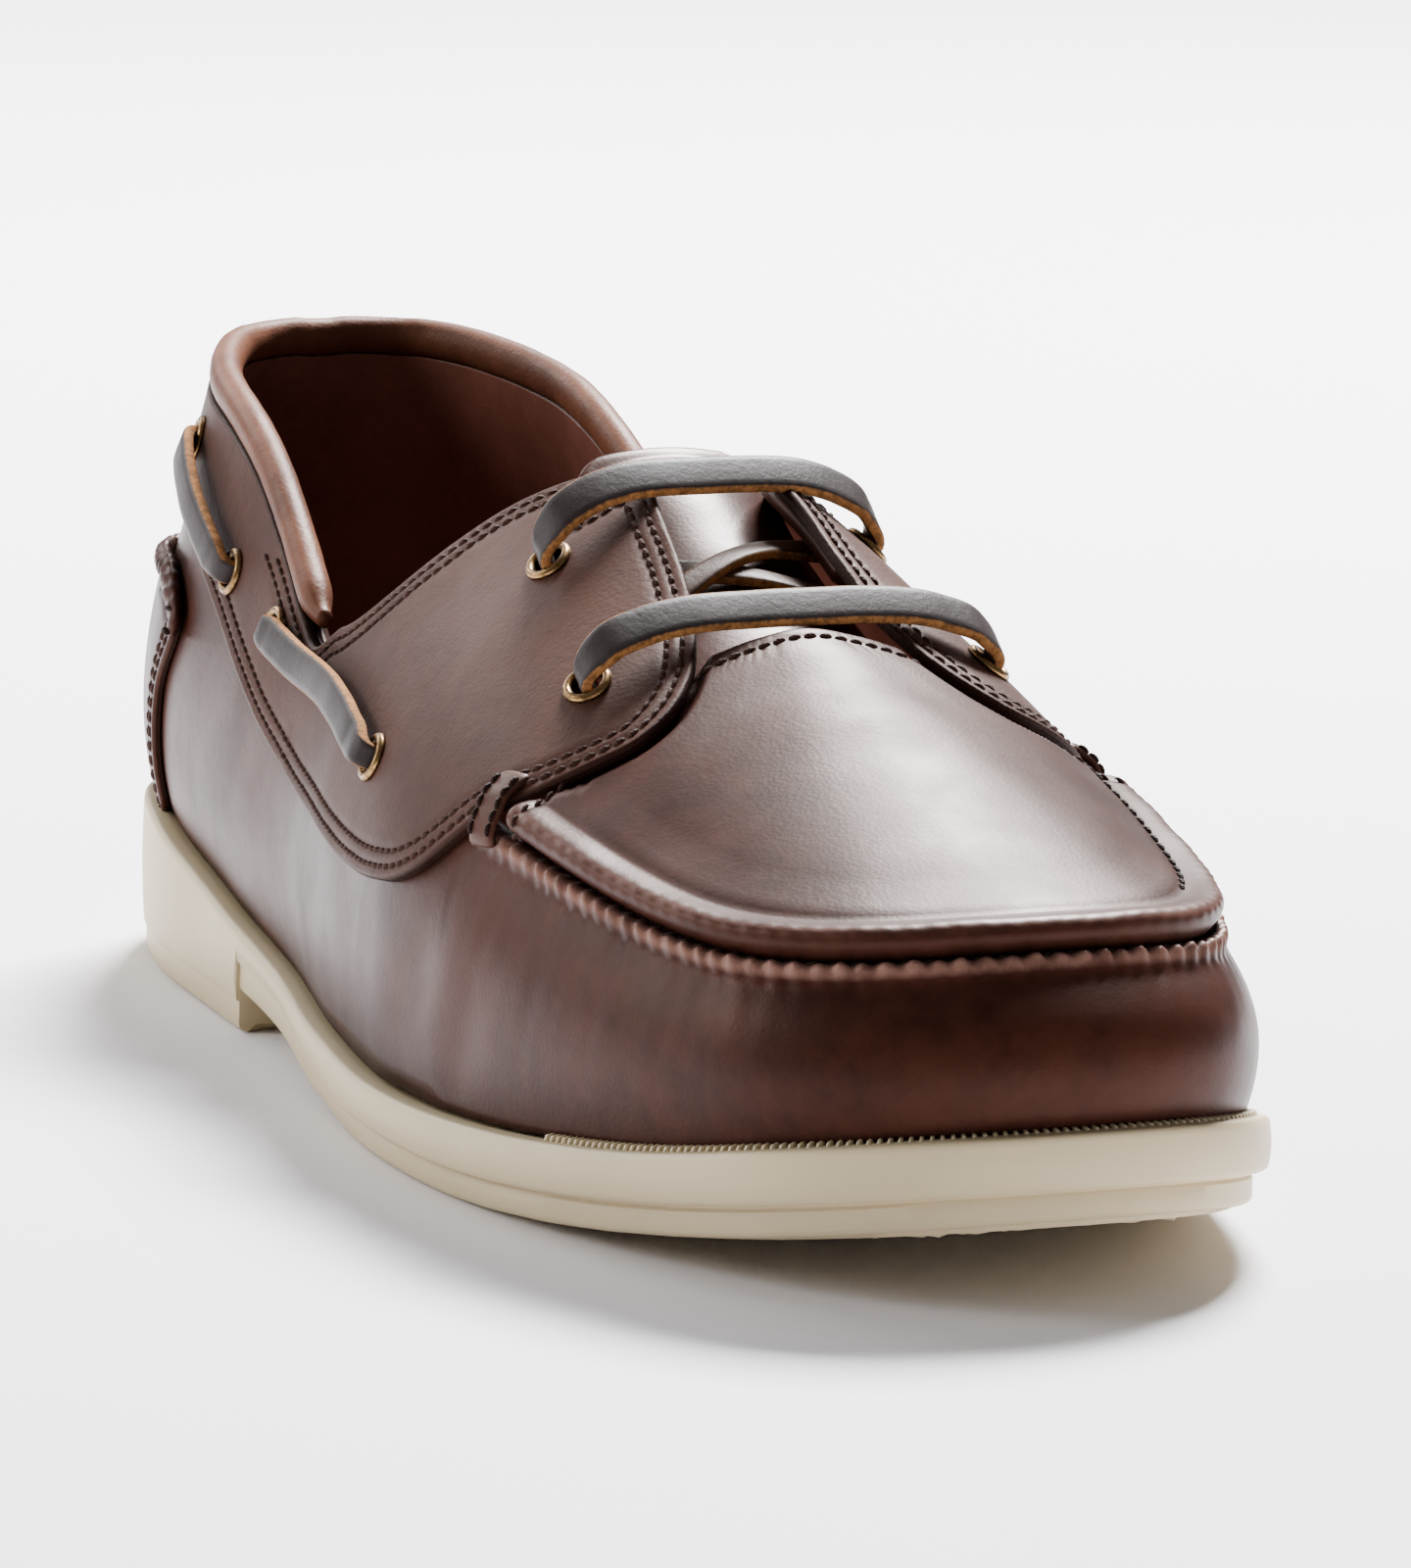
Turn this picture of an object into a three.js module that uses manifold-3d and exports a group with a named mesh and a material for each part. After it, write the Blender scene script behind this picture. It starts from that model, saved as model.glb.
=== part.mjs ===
// Boat shoe, right foot, in millimetres. The heel points along +Y, the toe along -Y,
// the outer (lateral) side is -X and the inner (medial) side is +X. Z = 0 is the floor.
// Stations are given as s, the distance from the back of the heel: y = LENGTH / 2 - s.

import * as THREE from 'three';
import { mergeVertices } from 'three/addons/utils/BufferGeometryUtils.js';
import Module from 'manifold-3d';

const wasm = await Module();
wasm.setup();

// Driving dimensions.
const LENGTH = 300;            // sole, heel to toe
const FEATHER_INSET = 3.5;     // width of the sole's ledge outside the upper
const GAP = 0.3;               // air between pieces that meet
const WALL = 2.2;              // upper leather with its lining
const OVERLAY = 1.6;           // saddle leather
const COUNTER = 1.3;           // heel counter leather
const INSOLE = 3;              // insole board and sock
const TONGUE_WALL = 1.8;
const ROLL_RADIUS = 2.5;       // padded collar roll
const ROLL_DROP = 5.3;         // the upper's edge stops this far below the top of the roll
const PLUG_ROLL_RADIUS = 2;    // raised edge of the plug
const EYELET = { hole: 2.3, ring: 4.1, height: 1.1, lift: 0.35 };
const LACE = { width: 5.6, thickness: 2, clear: 0.6 };
const HEEL_LENGTH = 94;        // back of the heel to the heel breast
const TIER = 4.6;              // height of the tread tier below the foxing
const RING_STEPS = 66;         // stations around the foot

// Stations up a wall section, from the feather line over the foot.
const LEVELS = [0, 0.1, 0.2, 0.3, 0.39, 0.48, 0.58, 0.68, 0.78, 0.88, 0.985];

// Tables: the first line names the columns, and each row is one section.
function table(columns, rows) {
  return rows.map((row) => Object.fromEntries(columns.map((name, i) => [name, row[i]])));
}

// Edge of the sole seen from above: x of the lateral and medial edge.
const OUTLINE = table(['s', 'lateral', 'medial'], [
  [0, 1.6, 1.6], [6, -16, 22], [20, -30, 32], [45, -37.5, 37], [80, -40.5, 35],
  [115, -43, 32.5], [150, -49.5, 38], [185, -53.75, 49], [210, -52.8, 53.2],
  [235, -48.5, 53.4], [260, -41.5, 49.5], [280, -32.5, 42.5], [293, -19.5, 31.5], [300, 7, 7],
]);

// Top face of the sole.
const FOOTBED = table(['s', 'z'], [
  [0, 25], [30, 24.5], [60, 20.8], [94, 15.6], [120, 12.8], [150, 11.6], [205, 11.4],
  [235, 13.2], [260, 16.2], [280, 20], [300, 24],
]);

// Underside: heel seat, heel breast, waist, flat forefoot and toe spring.
const UNDERSIDE = table(['s', 'z'], [
  [-2, 6], [0, 3], [1.5, 1.2], [4, 0], [HEEL_LENGTH, 0], [HEEL_LENGTH, 6], [118, 4.4], [145, 1.8],
  [168, 0], [208, 0], [222, 0.5], [236, 1.5], [250, 3], [264, 4.9], [278, 7.2], [290, 9.4],
  [302, 11.8],
]);

// Tread grooves across the sole.
const GROOVES = table(['s', 'width', 'depth'], [
  [28, 2.2, 1.6], [60, 2.2, 1.6], [160, 2.4, 1.4], [198, 2.4, 1.6], [233, 2.4, 1.6], [264, 2.4, 1.6],
]);

// The last. Each row is one wall section from the feather line over the foot: its first handle
// stands `bulge` outside and `rise` above the feather line, the second one lies at the part
// `shoulder` of the way from the end back to the feather line, at height zShoulder.
const LAST = table(
  ['s', 'bulge', 'rise', 'shoulderL', 'shoulderM', 'zShoulder', 'endL', 'endM', 'endS', 'endZ'],
  [
    [0, 6, 24, 0.15, 0.15, 76, 1.6, 1.6, 8, 95],
    [20, 7, 24, 0.2, 0.2, 76, -17, 21, 20, 94],
    [45, 8, 24, 0.3, 0.3, 74, -25, 27, 44, 93],
    [80, 8, 25, 0.4, 0.42, 72, -26, 26, 80, 92],
    [113, 7, 29, 0.52, 0.58, 74, -21, 22.5, 113, 93],
    [150, 6, 36, 0.68, 0.76, 79, -8, 11, 150, 98],
    [175, 6, 36, 0.74, 0.82, 77, -4, 9, 176, 93],
    [200, 6, 35, 0.76, 0.8, 71, -3, 8, 190, 86.5],
    [235, 7, 31, 0.79, 0.79, 60, -2, 6, 196, 82.5],
    [270, 8, 25, 0.8, 0.8, 51.5, -0.5, 4, 199, 81],
    [300, 9, 24, 0.8, 0.8, 49.5, 1.6, 1.6, 200, 80.5],
  ],
);

// Collar and topline seen from the side.
const TOPLINE = table(['s', 'z'], [
  [0, 95], [20, 94.5], [38, 92.8], [55, 90.5], [71, 86], [90, 77.5], [107, 69], [117, 65.2],
  [124, 65.6], [131, 68.5], [139, 73.5], [149, 81.5], [155, 87], [161, 91], [165, 92.8], [169, 93.6],
]);

// Lower edge of the saddle (eyestay and quarter overlay) seen from the side.
const SADDLE_LOWER = table(['s', 'z'], [
  [206, 52.6], [201, 48], [195.5, 44], [188, 40.8], [178, 39.2], [163, 38.8], [143, 40], [115, 43],
  [99, 47.2], [86, 52.6], [71.5, 59.2], [60, 64], [50, 68], [38, 72], [24, 75],
]);

// Front edge of the saddle seen from above: distance from the centre line of the throat.
const SADDLE_FRONT = table(['s', 'across'], [
  [150, 5.2], [160, 6], [169, 7.6], [180, 9.6], [194, 11.4], [206, 14.4], [213, 18], [217.5, 22.5],
  [219.5, 28], [218, 33.5], [214, 39.5], [208, 44], [203, 47.5], [196, 70], [150, 70],
]);
const THROAT_CENTRE = 1.6;
const THROAT_HEM = 1.6;        // the saddle covers this much of the upper's throat edge
const PLUG_REAR = 208.5;       // station of the plug's rear edge

// Heel counter seen from the side.
const COUNTER_EDGE = table(['s', 'z'], [
  [-6, 25.4], [32, 25.2], [41, 25], [43, 32], [46, 44], [52, 55.5], [44, 60.5], [30, 61.5],
  [12, 60.5], [-6, 59.5],
]);

// Tongue, from its free top to its end under the plug.
const TONGUE = table(['s', 'half', 'ridge', 'drop'], [
  [155, 10, 95.2, 2.4], [159, 13, 93.6, 5.8], [166, 16.5, 90.6, 9.6], [174, 19, 86.6, 10.8],
  [184, 20, 81.6, 9.5], [195, 20, 76.6, 8], [205, 19, 71.9, 6], [214, 18, 67.8, 5],
]);

// Eyelets of one side, seen from the side, and the pairs that a side lace runs between.
const EYELETS = table(['name', 's', 'z'], [
  ['upper', 175.6, 81.7], ['lower', 204, 69], ['side_1', 165, 53.5], ['side_2', 97, 60.8],
  ['side_3', 74, 65.9], ['side_4', 38, 80.6],
]);
const SIDE_LACES = table(['name', 'from', 'to'], [
  ['front', 'side_1', 'side_2'], ['rear', 'side_3', 'side_4'],
]);

// Rise of a front lace bar over the line between its two eyelets.
const BARS = table(['name', 'eyelet', 'arch'], [
  ['upper', 'upper', 10.6], ['lower', 'lower', 11],
]);

// Smooth curves through table columns.
function hermite(xs, ys, x) {
  const last = xs.length - 1;
  let k = 0;
  while (k < last - 1 && x > xs[k + 1]) k += 1;
  const slope = (i) => {
    if (i === 0) return (ys[1] - ys[0]) / (xs[1] - xs[0]);
    if (i === last) return (ys[last] - ys[last - 1]) / (xs[last] - xs[last - 1]);
    const before = xs[i] - xs[i - 1];
    const after = xs[i + 1] - xs[i];
    const down = (ys[i] - ys[i - 1]) / before;
    const up = (ys[i + 1] - ys[i]) / after;
    return (after * down + before * up) / (before + after);
  };
  const h = xs[k + 1] - xs[k];
  const t = (x - xs[k]) / h;
  const a = 2 * t ** 3 - 3 * t ** 2 + 1;
  const b = t ** 3 - 2 * t ** 2 + t;
  const c = 3 * t ** 2 - 2 * t ** 3;
  const d = t ** 3 - t ** 2;
  return a * ys[k] + b * h * slope(k) + c * ys[k + 1] + d * h * slope(k + 1);
}

const stationOf = (phi) => (LENGTH / 2) * (1 - Math.cos(phi));
const angleOf = (s) => Math.acos(1 - (2 * Math.min(Math.max(s, 0), LENGTH)) / LENGTH);
const along = (rows, column, s) => hermite(rows.map((r) => r.s), rows.map((r) => r[column]), s);

// A closed curve around the foot: heel, lateral side, toe, medial side.
function around(rows, lateral, medial, phi) {
  const xs = rows.map((r) => angleOf(r.s));
  const ys = rows.map((r) => r[lateral]);
  for (const row of rows.slice(1, -1).reverse()) {
    xs.push(2 * Math.PI - angleOf(row.s));
    ys.push(row[medial]);
  }
  const n = xs.length;
  const turn = 2 * Math.PI;
  const wrapX = [...xs.slice(n - 3).map((v) => v - turn), ...xs, ...xs.slice(0, 3).map((v) => v + turn)];
  const wrapY = [...ys.slice(n - 3), ...ys, ...ys.slice(0, 3)];
  return hermite(wrapX, wrapY, ((phi % turn) + turn) % turn);
}

// Sole edge and its inward normal, seen from above.
function edge(phi) {
  const x = around(OUTLINE, 'lateral', 'medial', phi);
  return new THREE.Vector2(x, LENGTH / 2 - stationOf(phi));
}

function inward(phi) {
  const step = 1e-3;
  const along2 = edge(phi + step).sub(edge(phi - step)).normalize();
  return new THREE.Vector2(-along2.y, along2.x);
}

const inset = (phi, distance) => edge(phi).addScaledVector(inward(phi), distance);
const footbed = (y) => along(FOOTBED, 'z', LENGTH / 2 - y);

// Surface of the last: phi goes around the foot, w from the feather line (0) over the foot (1).
function last(phi, w) {
  const f = inset(phi, FEATHER_INSET);
  const foot = new THREE.Vector3(f.x, f.y, footbed(f.y) + GAP);
  const column = (name, other = name) => around(LAST, name, other, phi);
  const n = inward(phi);
  const out = column('bulge');
  const rise = new THREE.Vector3(foot.x - n.x * out, foot.y - n.y * out, foot.z + column('rise'));
  const end = new THREE.Vector3(column('endL', 'endM'), LENGTH / 2 - column('endS'), column('endZ'));
  const shoulder = end.clone().lerp(foot, column('shoulderL', 'shoulderM')).setZ(column('zShoulder'));
  return new THREE.CubicBezierCurve3(foot, rise, shoulder, end).getPoint(w);
}

function lastNormal(phi, w) {
  const step = 2e-3;
  const a = last(phi + step, w).sub(last(phi - step, w));
  const b = last(phi, w + step).sub(last(phi, w - step));
  return a.cross(b).normalize();
}

const offLast = (phi, w, distance) => last(phi, w).addScaledVector(lastNormal(phi, w), distance);

// Section height w at which a wall section reaches the height z.
function reachOf(phi, height) {
  let low = 0;
  let high = 1;
  for (let i = 0; i < 30; i += 1) {
    const middle = (low + high) / 2;
    const p = last(phi, middle);
    if (p.z < height(LENGTH / 2 - p.y)) low = middle;
    else high = middle;
  }
  return (low + high) / 2;
}

// Point of the last on one side at a station and height: side -1 is lateral, 1 is medial.
function locate(side, s, z) {
  let phi = side < 0 ? angleOf(s) : 2 * Math.PI - angleOf(s);
  let w = 0.5;
  for (let i = 0; i < 25; i += 1) {
    w = reachOf(phi, () => z);
    const p = last(phi, w);
    phi += (side < 0 ? 1 : -1) * (s - (LENGTH / 2 - p.y)) * 0.006;
  }
  return { phi, w };
}

// Closed body from a grid of points; rows or columns may close on themselves. An open end is
// closed by rungs between the first and the second half of its row. From column `turned` on,
// faces are split along the other diagonal, so that the two faces of a layer match.
function gridBody(points, closeRows, closeColumns, turned = Infinity) {
  const rows = points.length;
  const columns = points[0].length;
  const positions = points.flat().flatMap((p) => [p.x, p.y, p.z]);
  const index = [];
  const at = (i, j) => (i % rows) * columns + (j % columns);
  for (let i = 0; i < (closeRows ? rows : rows - 1); i += 1) {
    for (let j = 0; j < (closeColumns ? columns : columns - 1); j += 1) {
      const corners = [at(i, j), at(i + 1, j), at(i + 1, j + 1), at(i, j + 1)];
      const order = j < turned ? [0, 1, 2, 0, 2, 3] : [1, 2, 3, 1, 3, 0];
      index.push(...order.map((corner) => corners[corner]));
    }
  }
  if (!closeRows) {
    for (let j = 0; j < columns / 2 - 1; j += 1) {
      const facing = columns - 1 - j;
      index.push(at(0, j), at(0, j + 1), at(0, facing - 1), at(0, j), at(0, facing - 1), at(0, facing));
      const end = rows - 1;
      index.push(at(end, j), at(end, facing - 1), at(end, j + 1));
      index.push(at(end, j), at(end, facing), at(end, facing - 1));
    }
  }
  const geometry = new THREE.BufferGeometry();
  geometry.setAttribute('position', new THREE.Float32BufferAttribute(positions, 3));
  geometry.setIndex(index);
  return geometry;
}

// Conversions between three.js geometry and solids.
function solid(geometry) {
  const bare = geometry.clone();
  bare.deleteAttribute('normal');
  bare.deleteAttribute('uv');
  const merged = mergeVertices(bare, 1e-4);
  return new wasm.Manifold(new wasm.Mesh({
    numProp: 3,
    vertProperties: new Float32Array(merged.attributes.position.array),
    triVerts: new Uint32Array(merged.index.array),
  }));
}

function geometryOf(body) {
  const mesh = body.getMesh();
  const geometry = new THREE.BufferGeometry();
  geometry.setAttribute('position', new THREE.Float32BufferAttribute(mesh.vertProperties, 3));
  geometry.setIndex([...mesh.triVerts]);
  return geometry;
}

// Prism through the shoe from a side outline, between two values of x.
function sidePrism(outline, fromX, toX) {
  const shape = new THREE.Shape(outline.map((r) => new THREE.Vector2(r.s, r.z)));
  const geometry = new THREE.ExtrudeGeometry(shape, { depth: toX - fromX, bevelEnabled: false });
  const place = new THREE.Matrix4().set(
    0, 0, -1, toX,
    -1, 0, 0, LENGTH / 2,
    0, 1, 0, 0,
    0, 0, 0, 1,
  );
  geometry.applyMatrix4(place);
  return solid(geometry);
}

// Upright prism from an outline seen from above, given as distances to one side of the throat.
function planPrism(outline, side) {
  const corners = outline.map((r) => new THREE.Vector2(THROAT_CENTRE + side * r.across, LENGTH / 2 - r.s));
  const geometry = new THREE.ExtrudeGeometry(new THREE.Shape(corners), { depth: 130, bevelEnabled: false });
  return solid(geometry);
}

// Band of the last between two offsets, from one ring station to another.
function layer(from, to, inner, outer) {
  const closed = to - from >= RING_STEPS;
  const rows = [];
  for (let k = from; k < to + (closed ? 0 : 1); k += 1) {
    const phi = (2 * Math.PI * k) / RING_STEPS;
    const outside = LEVELS.map((w) => offLast(phi, w, outer));
    const inside = [...LEVELS].reverse().map((w) => offLast(phi, w, inner));
    rows.push([...outside, ...inside]);
  }
  return solid(gridBody(rows, closed, true, LEVELS.length));
}

// Side outline above the collar and topline, lowered by what sits on the edge.
function aboveTopline(drop) {
  const line = [];
  for (let s = -4; s <= 166; s += 5) line.push({ s, z: along(TOPLINE, 'z', Math.max(s, 0)) - drop(s) });
  const front = [{ s: 170, z: 94 }, { s: 178, z: 104 }, { s: 178, z: 130 }, { s: -4, z: 130 }];
  return sidePrism([...line, ...front], -70, 70);
}

const rollDrop = (s) => ROLL_DROP * (1 - THREE.MathUtils.smoothstep(s, 112, 124));

function makeUpper() {
  const hem = SADDLE_FRONT.slice(0, 6);
  const half = [...hem.map((r) => ({ s: r.s, across: r.across + THROAT_HEM })),
    { s: PLUG_REAR, across: 16.6 }, { s: PLUG_REAR, across: -0.01 }, { s: 150, across: -0.01 }];
  return geometryOf(layer(0, RING_STEPS, -WALL, 0)
    .subtract(aboveTopline((s) => Math.max(rollDrop(s), 0.8)))
    .subtract(planPrism(half, -1))
    .subtract(planPrism(half, 1))
    .subtract(eyeletHoles(-1))
    .subtract(eyeletHoles(1)));
}

// Eyelets.
function eyeletPlace(side, row, distance) {
  const { phi, w } = locate(side, row.s, row.z);
  const normal = lastNormal(phi, w);
  const turn = new THREE.Quaternion().setFromUnitVectors(new THREE.Vector3(0, 1, 0), normal);
  return { position: last(phi, w).addScaledVector(normal, distance), turn };
}

function eyeletHoles(side) {
  let holes = null;
  for (const row of EYELETS) {
    const pin = new THREE.CylinderGeometry(EYELET.hole, EYELET.hole, 12, 10);
    const { position, turn } = eyeletPlace(side, row, 0);
    pin.applyQuaternion(turn);
    pin.translate(position.x, position.y, position.z);
    holes = holes ? holes.add(solid(pin)) : solid(pin);
  }
  return holes;
}

function makeEyelet(side, row) {
  const { hole, ring, height, lift } = EYELET;
  const profile = [[hole, 0], [ring, 0], [ring - 0.5, height], [hole + 0.3, height], [hole, 0]];
  const geometry = new THREE.LatheGeometry(profile.map(([r, y]) => new THREE.Vector2(r, y)), 10);
  const { position, turn } = eyeletPlace(side, row, GAP + OVERLAY + lift);
  geometry.applyQuaternion(turn);
  geometry.translate(position.x, position.y, position.z);
  return geometryOf(solid(geometry));
}

// Saddle: the layer over the upper, cut to its outlines from the side and from above.
function makeSaddle(side) {
  const rear = 5;
  const front = 28;
  const band = side < 0
    ? layer(rear, front, GAP, GAP + OVERLAY)
    : layer(RING_STEPS - front, RING_STEPS - rear, GAP, GAP + OVERLAY);
  const rise = [{ s: 24, z: 130 }, { s: 226, z: 130 }, { s: 226, z: 50 }];
  const fromSide = sidePrism([...SADDLE_LOWER, ...rise], -70, 70);
  const back = [{ s: 150, across: 70 }, { s: 12, across: 70 }, { s: 12, across: 5.2 }];
  const fromAbove = planPrism([...SADDLE_FRONT.slice(0, -1), ...back], side);
  return geometryOf(band
    .intersect(fromSide)
    .intersect(fromAbove)
    .subtract(aboveTopline(rollDrop))
    .subtract(eyeletHoles(side)));
}

function makeCounter() {
  return geometryOf(layer(-11, 11, GAP, GAP + COUNTER).intersect(sidePrism(COUNTER_EDGE, -60, 60)));
}

// Round rope through a list of points.
function rope(points, radius, sides) {
  const curve = new THREE.CatmullRomCurve3(points);
  const shape = new THREE.Shape();
  for (let i = 0; i < sides; i += 1) {
    const a = (2 * Math.PI * i) / sides;
    shape[i ? 'lineTo' : 'moveTo'](radius * Math.cos(a), radius * Math.sin(a));
  }
  const options = { steps: points.length + 5, bevelEnabled: false, extrudePath: curve };
  return geometryOf(solid(new THREE.ExtrudeGeometry(shape, options)));
}

function makeCollarRoll() {
  const points = [];
  const span = angleOf(109);
  for (let i = 0; i <= 26; i += 1) {
    const phi = -span + (2 * span * i) / 26;
    const w = reachOf(phi, (s) => along(TOPLINE, 'z', s) - ROLL_DROP);
    points.push(offLast(phi, w, 0.1 - WALL / 2).add(new THREE.Vector3(0, 0, ROLL_RADIUS + 3 * GAP)));
  }
  return rope(points, ROLL_RADIUS, 8);
}

// Moccasin seam: raised edge of the plug, from tab to tab around the toe.
const seamReach = (s) => 0.47 - 0.05 * THREE.MathUtils.smoothstep(s, 220, 295);

function makePlugRoll() {
  const points = [];
  const start = angleOf(222);
  for (let i = 0; i <= 22; i += 1) {
    const phi = start + ((2 * Math.PI - 2 * start) * i) / 22;
    const lift = PLUG_ROLL_RADIUS + GAP + 0.15;
    points.push(offLast(phi, seamReach(stationOf(phi)) + 0.05, lift));
  }
  return rope(points, PLUG_ROLL_RADIUS, 8);
}

// Flat strap: centre points, direction across it, and half sizes.
function strap(centres, acrosses, normals, width, thickness) {
  const rows = centres.map((centre, i) => {
    const across = acrosses[i].clone().multiplyScalar(width / 2);
    const up = normals[i].clone().multiplyScalar(thickness / 2);
    return [
      centre.clone().add(across).sub(up),
      centre.clone().add(across).add(up),
      centre.clone().sub(across).add(up),
      centre.clone().sub(across).sub(up),
    ];
  });
  return geometryOf(outwardSolid(gridBody(rows, false, true)));
}

// A strap's corners may be listed either way round; its faces are turned outwards here.
function outwardSolid(geometry) {
  const body = solid(geometry);
  if (body.volume() > 0) return body;
  const index = [...geometry.index.array];
  for (let i = 0; i < index.length; i += 3) [index[i], index[i + 1]] = [index[i + 1], index[i]];
  geometry.setIndex(index);
  return solid(geometry);
}

function makeSideLace(side, row) {
  const start = locate(side, ...stationAndHeight(row.from));
  const end = locate(side, ...stationAndHeight(row.to));
  const distance = GAP + OVERLAY + LACE.clear + LACE.thickness / 2;
  const length = last(start.phi, start.w).distanceTo(last(end.phi, end.w));
  const margin = (EYELET.ring + 0.9) / length;
  const centres = [];
  const normals = [];
  for (let i = 0; i <= 10; i += 1) {
    const t = margin + ((1 - 2 * margin) * i) / 10;
    const phi = THREE.MathUtils.lerp(start.phi, end.phi, t);
    const w = THREE.MathUtils.lerp(start.w, end.w, t);
    centres.push(offLast(phi, w, distance));
    normals.push(lastNormal(phi, w));
  }
  return strap(centres, acrossOf(centres, normals), normals, LACE.width, LACE.thickness);
}

function stationAndHeight(name) {
  const row = EYELETS.find((r) => r.name === name);
  return [row.s, row.z];
}

function acrossOf(centres, normals) {
  return centres.map((_, i) => {
    const ahead = centres[Math.min(i + 1, centres.length - 1)];
    const behind = centres[Math.max(i - 1, 0)];
    return ahead.clone().sub(behind).cross(normals[i]).normalize();
  });
}

// Front lace bar: from just above the lateral eyelet over the throat to the medial one.
function makeBar(row) {
  const eyelet = EYELETS.find((r) => r.name === row.eyelet);
  const lift = GAP + OVERLAY + EYELET.lift + EYELET.height + LACE.clear;
  const ends = [-1, 1].map((side) => eyeletPlace(side, eyelet, lift + LACE.thickness / 2).position);
  const centres = [];
  for (let i = 0; i <= 14; i += 1) {
    const t = i / 14;
    const point = ends[0].clone().lerp(ends[1], t);
    point.z += row.arch * (1 - (2 * t - 1) ** 4);
    centres.push(point);
  }
  const forward = new THREE.Vector3(0, -1, 0);
  const normals = centres.map((_, i) => {
    const ahead = centres[Math.min(i + 1, 14)];
    const behind = centres[Math.max(i - 1, 0)];
    return ahead.clone().sub(behind).cross(forward).normalize();
  });
  return strap(centres, acrossOf(centres, normals), normals, LACE.width, LACE.thickness);
}

// Tongue.
const tongueTop = (s, x) => {
  const across = (x - THROAT_CENTRE) / along(TONGUE, 'half', s);
  return along(TONGUE, 'ridge', s) - along(TONGUE, 'drop', s) * across ** 2;
};

function makeTongue() {
  const rows = TONGUE.map((row) => {
    const steps = Array.from({ length: 9 }, (_, i) => i / 4 - 1);
    const xs = steps.map((t) => THROAT_CENTRE + t * row.half);
    const point = (x, down) => new THREE.Vector3(x, LENGTH / 2 - row.s, tongueTop(row.s, x) - down);
    const over = xs.map((x) => point(x, 0));
    const under = [...xs].reverse().map((x) => point(x, TONGUE_WALL));
    return [...over, ...under];
  });
  return geometryOf(outwardSolid(gridBody(rows, false, true)));
}

// The lace strands that cross on the tongue between the two bars.
function makeLaceCross() {
  const arm = (fromX, fromS, toX, toS, lift) => {
    const centres = [];
    const normals = [];
    for (let i = 0; i <= 6; i += 1) {
      const x = THREE.MathUtils.lerp(fromX, toX, i / 6);
      const s = THREE.MathUtils.lerp(fromS, toS, i / 6);
      const hump = lift * (1 - (i / 3 - 1) ** 2);
      const z = tongueTop(s, x) + 0.7 + LACE.thickness / 2 + hump;
      centres.push(new THREE.Vector3(x, LENGTH / 2 - s, z));
      normals.push(new THREE.Vector3(0, -0.45, 0.9).normalize());
    }
    return solid(strap(centres, acrossOf(centres, normals), normals, 4, LACE.thickness));
  };
  const first = arm(-6.4, 184, 9.4, 196, 0.8);
  const second = arm(-6.2, 195, 9.2, 183, 1.4);
  return geometryOf(first.add(second));
}

// Folded tab that holds the end of the moccasin seam.
function makeTab(side) {
  const { phi, w } = locate(side, 208, 53.5);
  const centres = [];
  const normals = [];
  for (let i = 0; i <= 3; i += 1) {
    const t = (i / 3 - 0.5) * 0.09;
    centres.push(offLast(phi, w + t, GAP + OVERLAY + 0.4 + 0.8));
    normals.push(lastNormal(phi, w + t));
  }
  return strap(centres, acrossOf(centres, normals), normals, 5, 1.6);
}

// Sole: outlines stacked from the tread to the footbed, with the underside and grooves cut away.
const BLANK_BOTTOM = -4;

function underside(s) {
  const next = UNDERSIDE.findIndex((row, i) => i > 0 && s <= row.s);
  const [before, after] = [UNDERSIDE[next - 1], UNDERSIDE[next]];
  return THREE.MathUtils.mapLinear(s, before.s, after.s, before.z, after.z);
}

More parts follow.
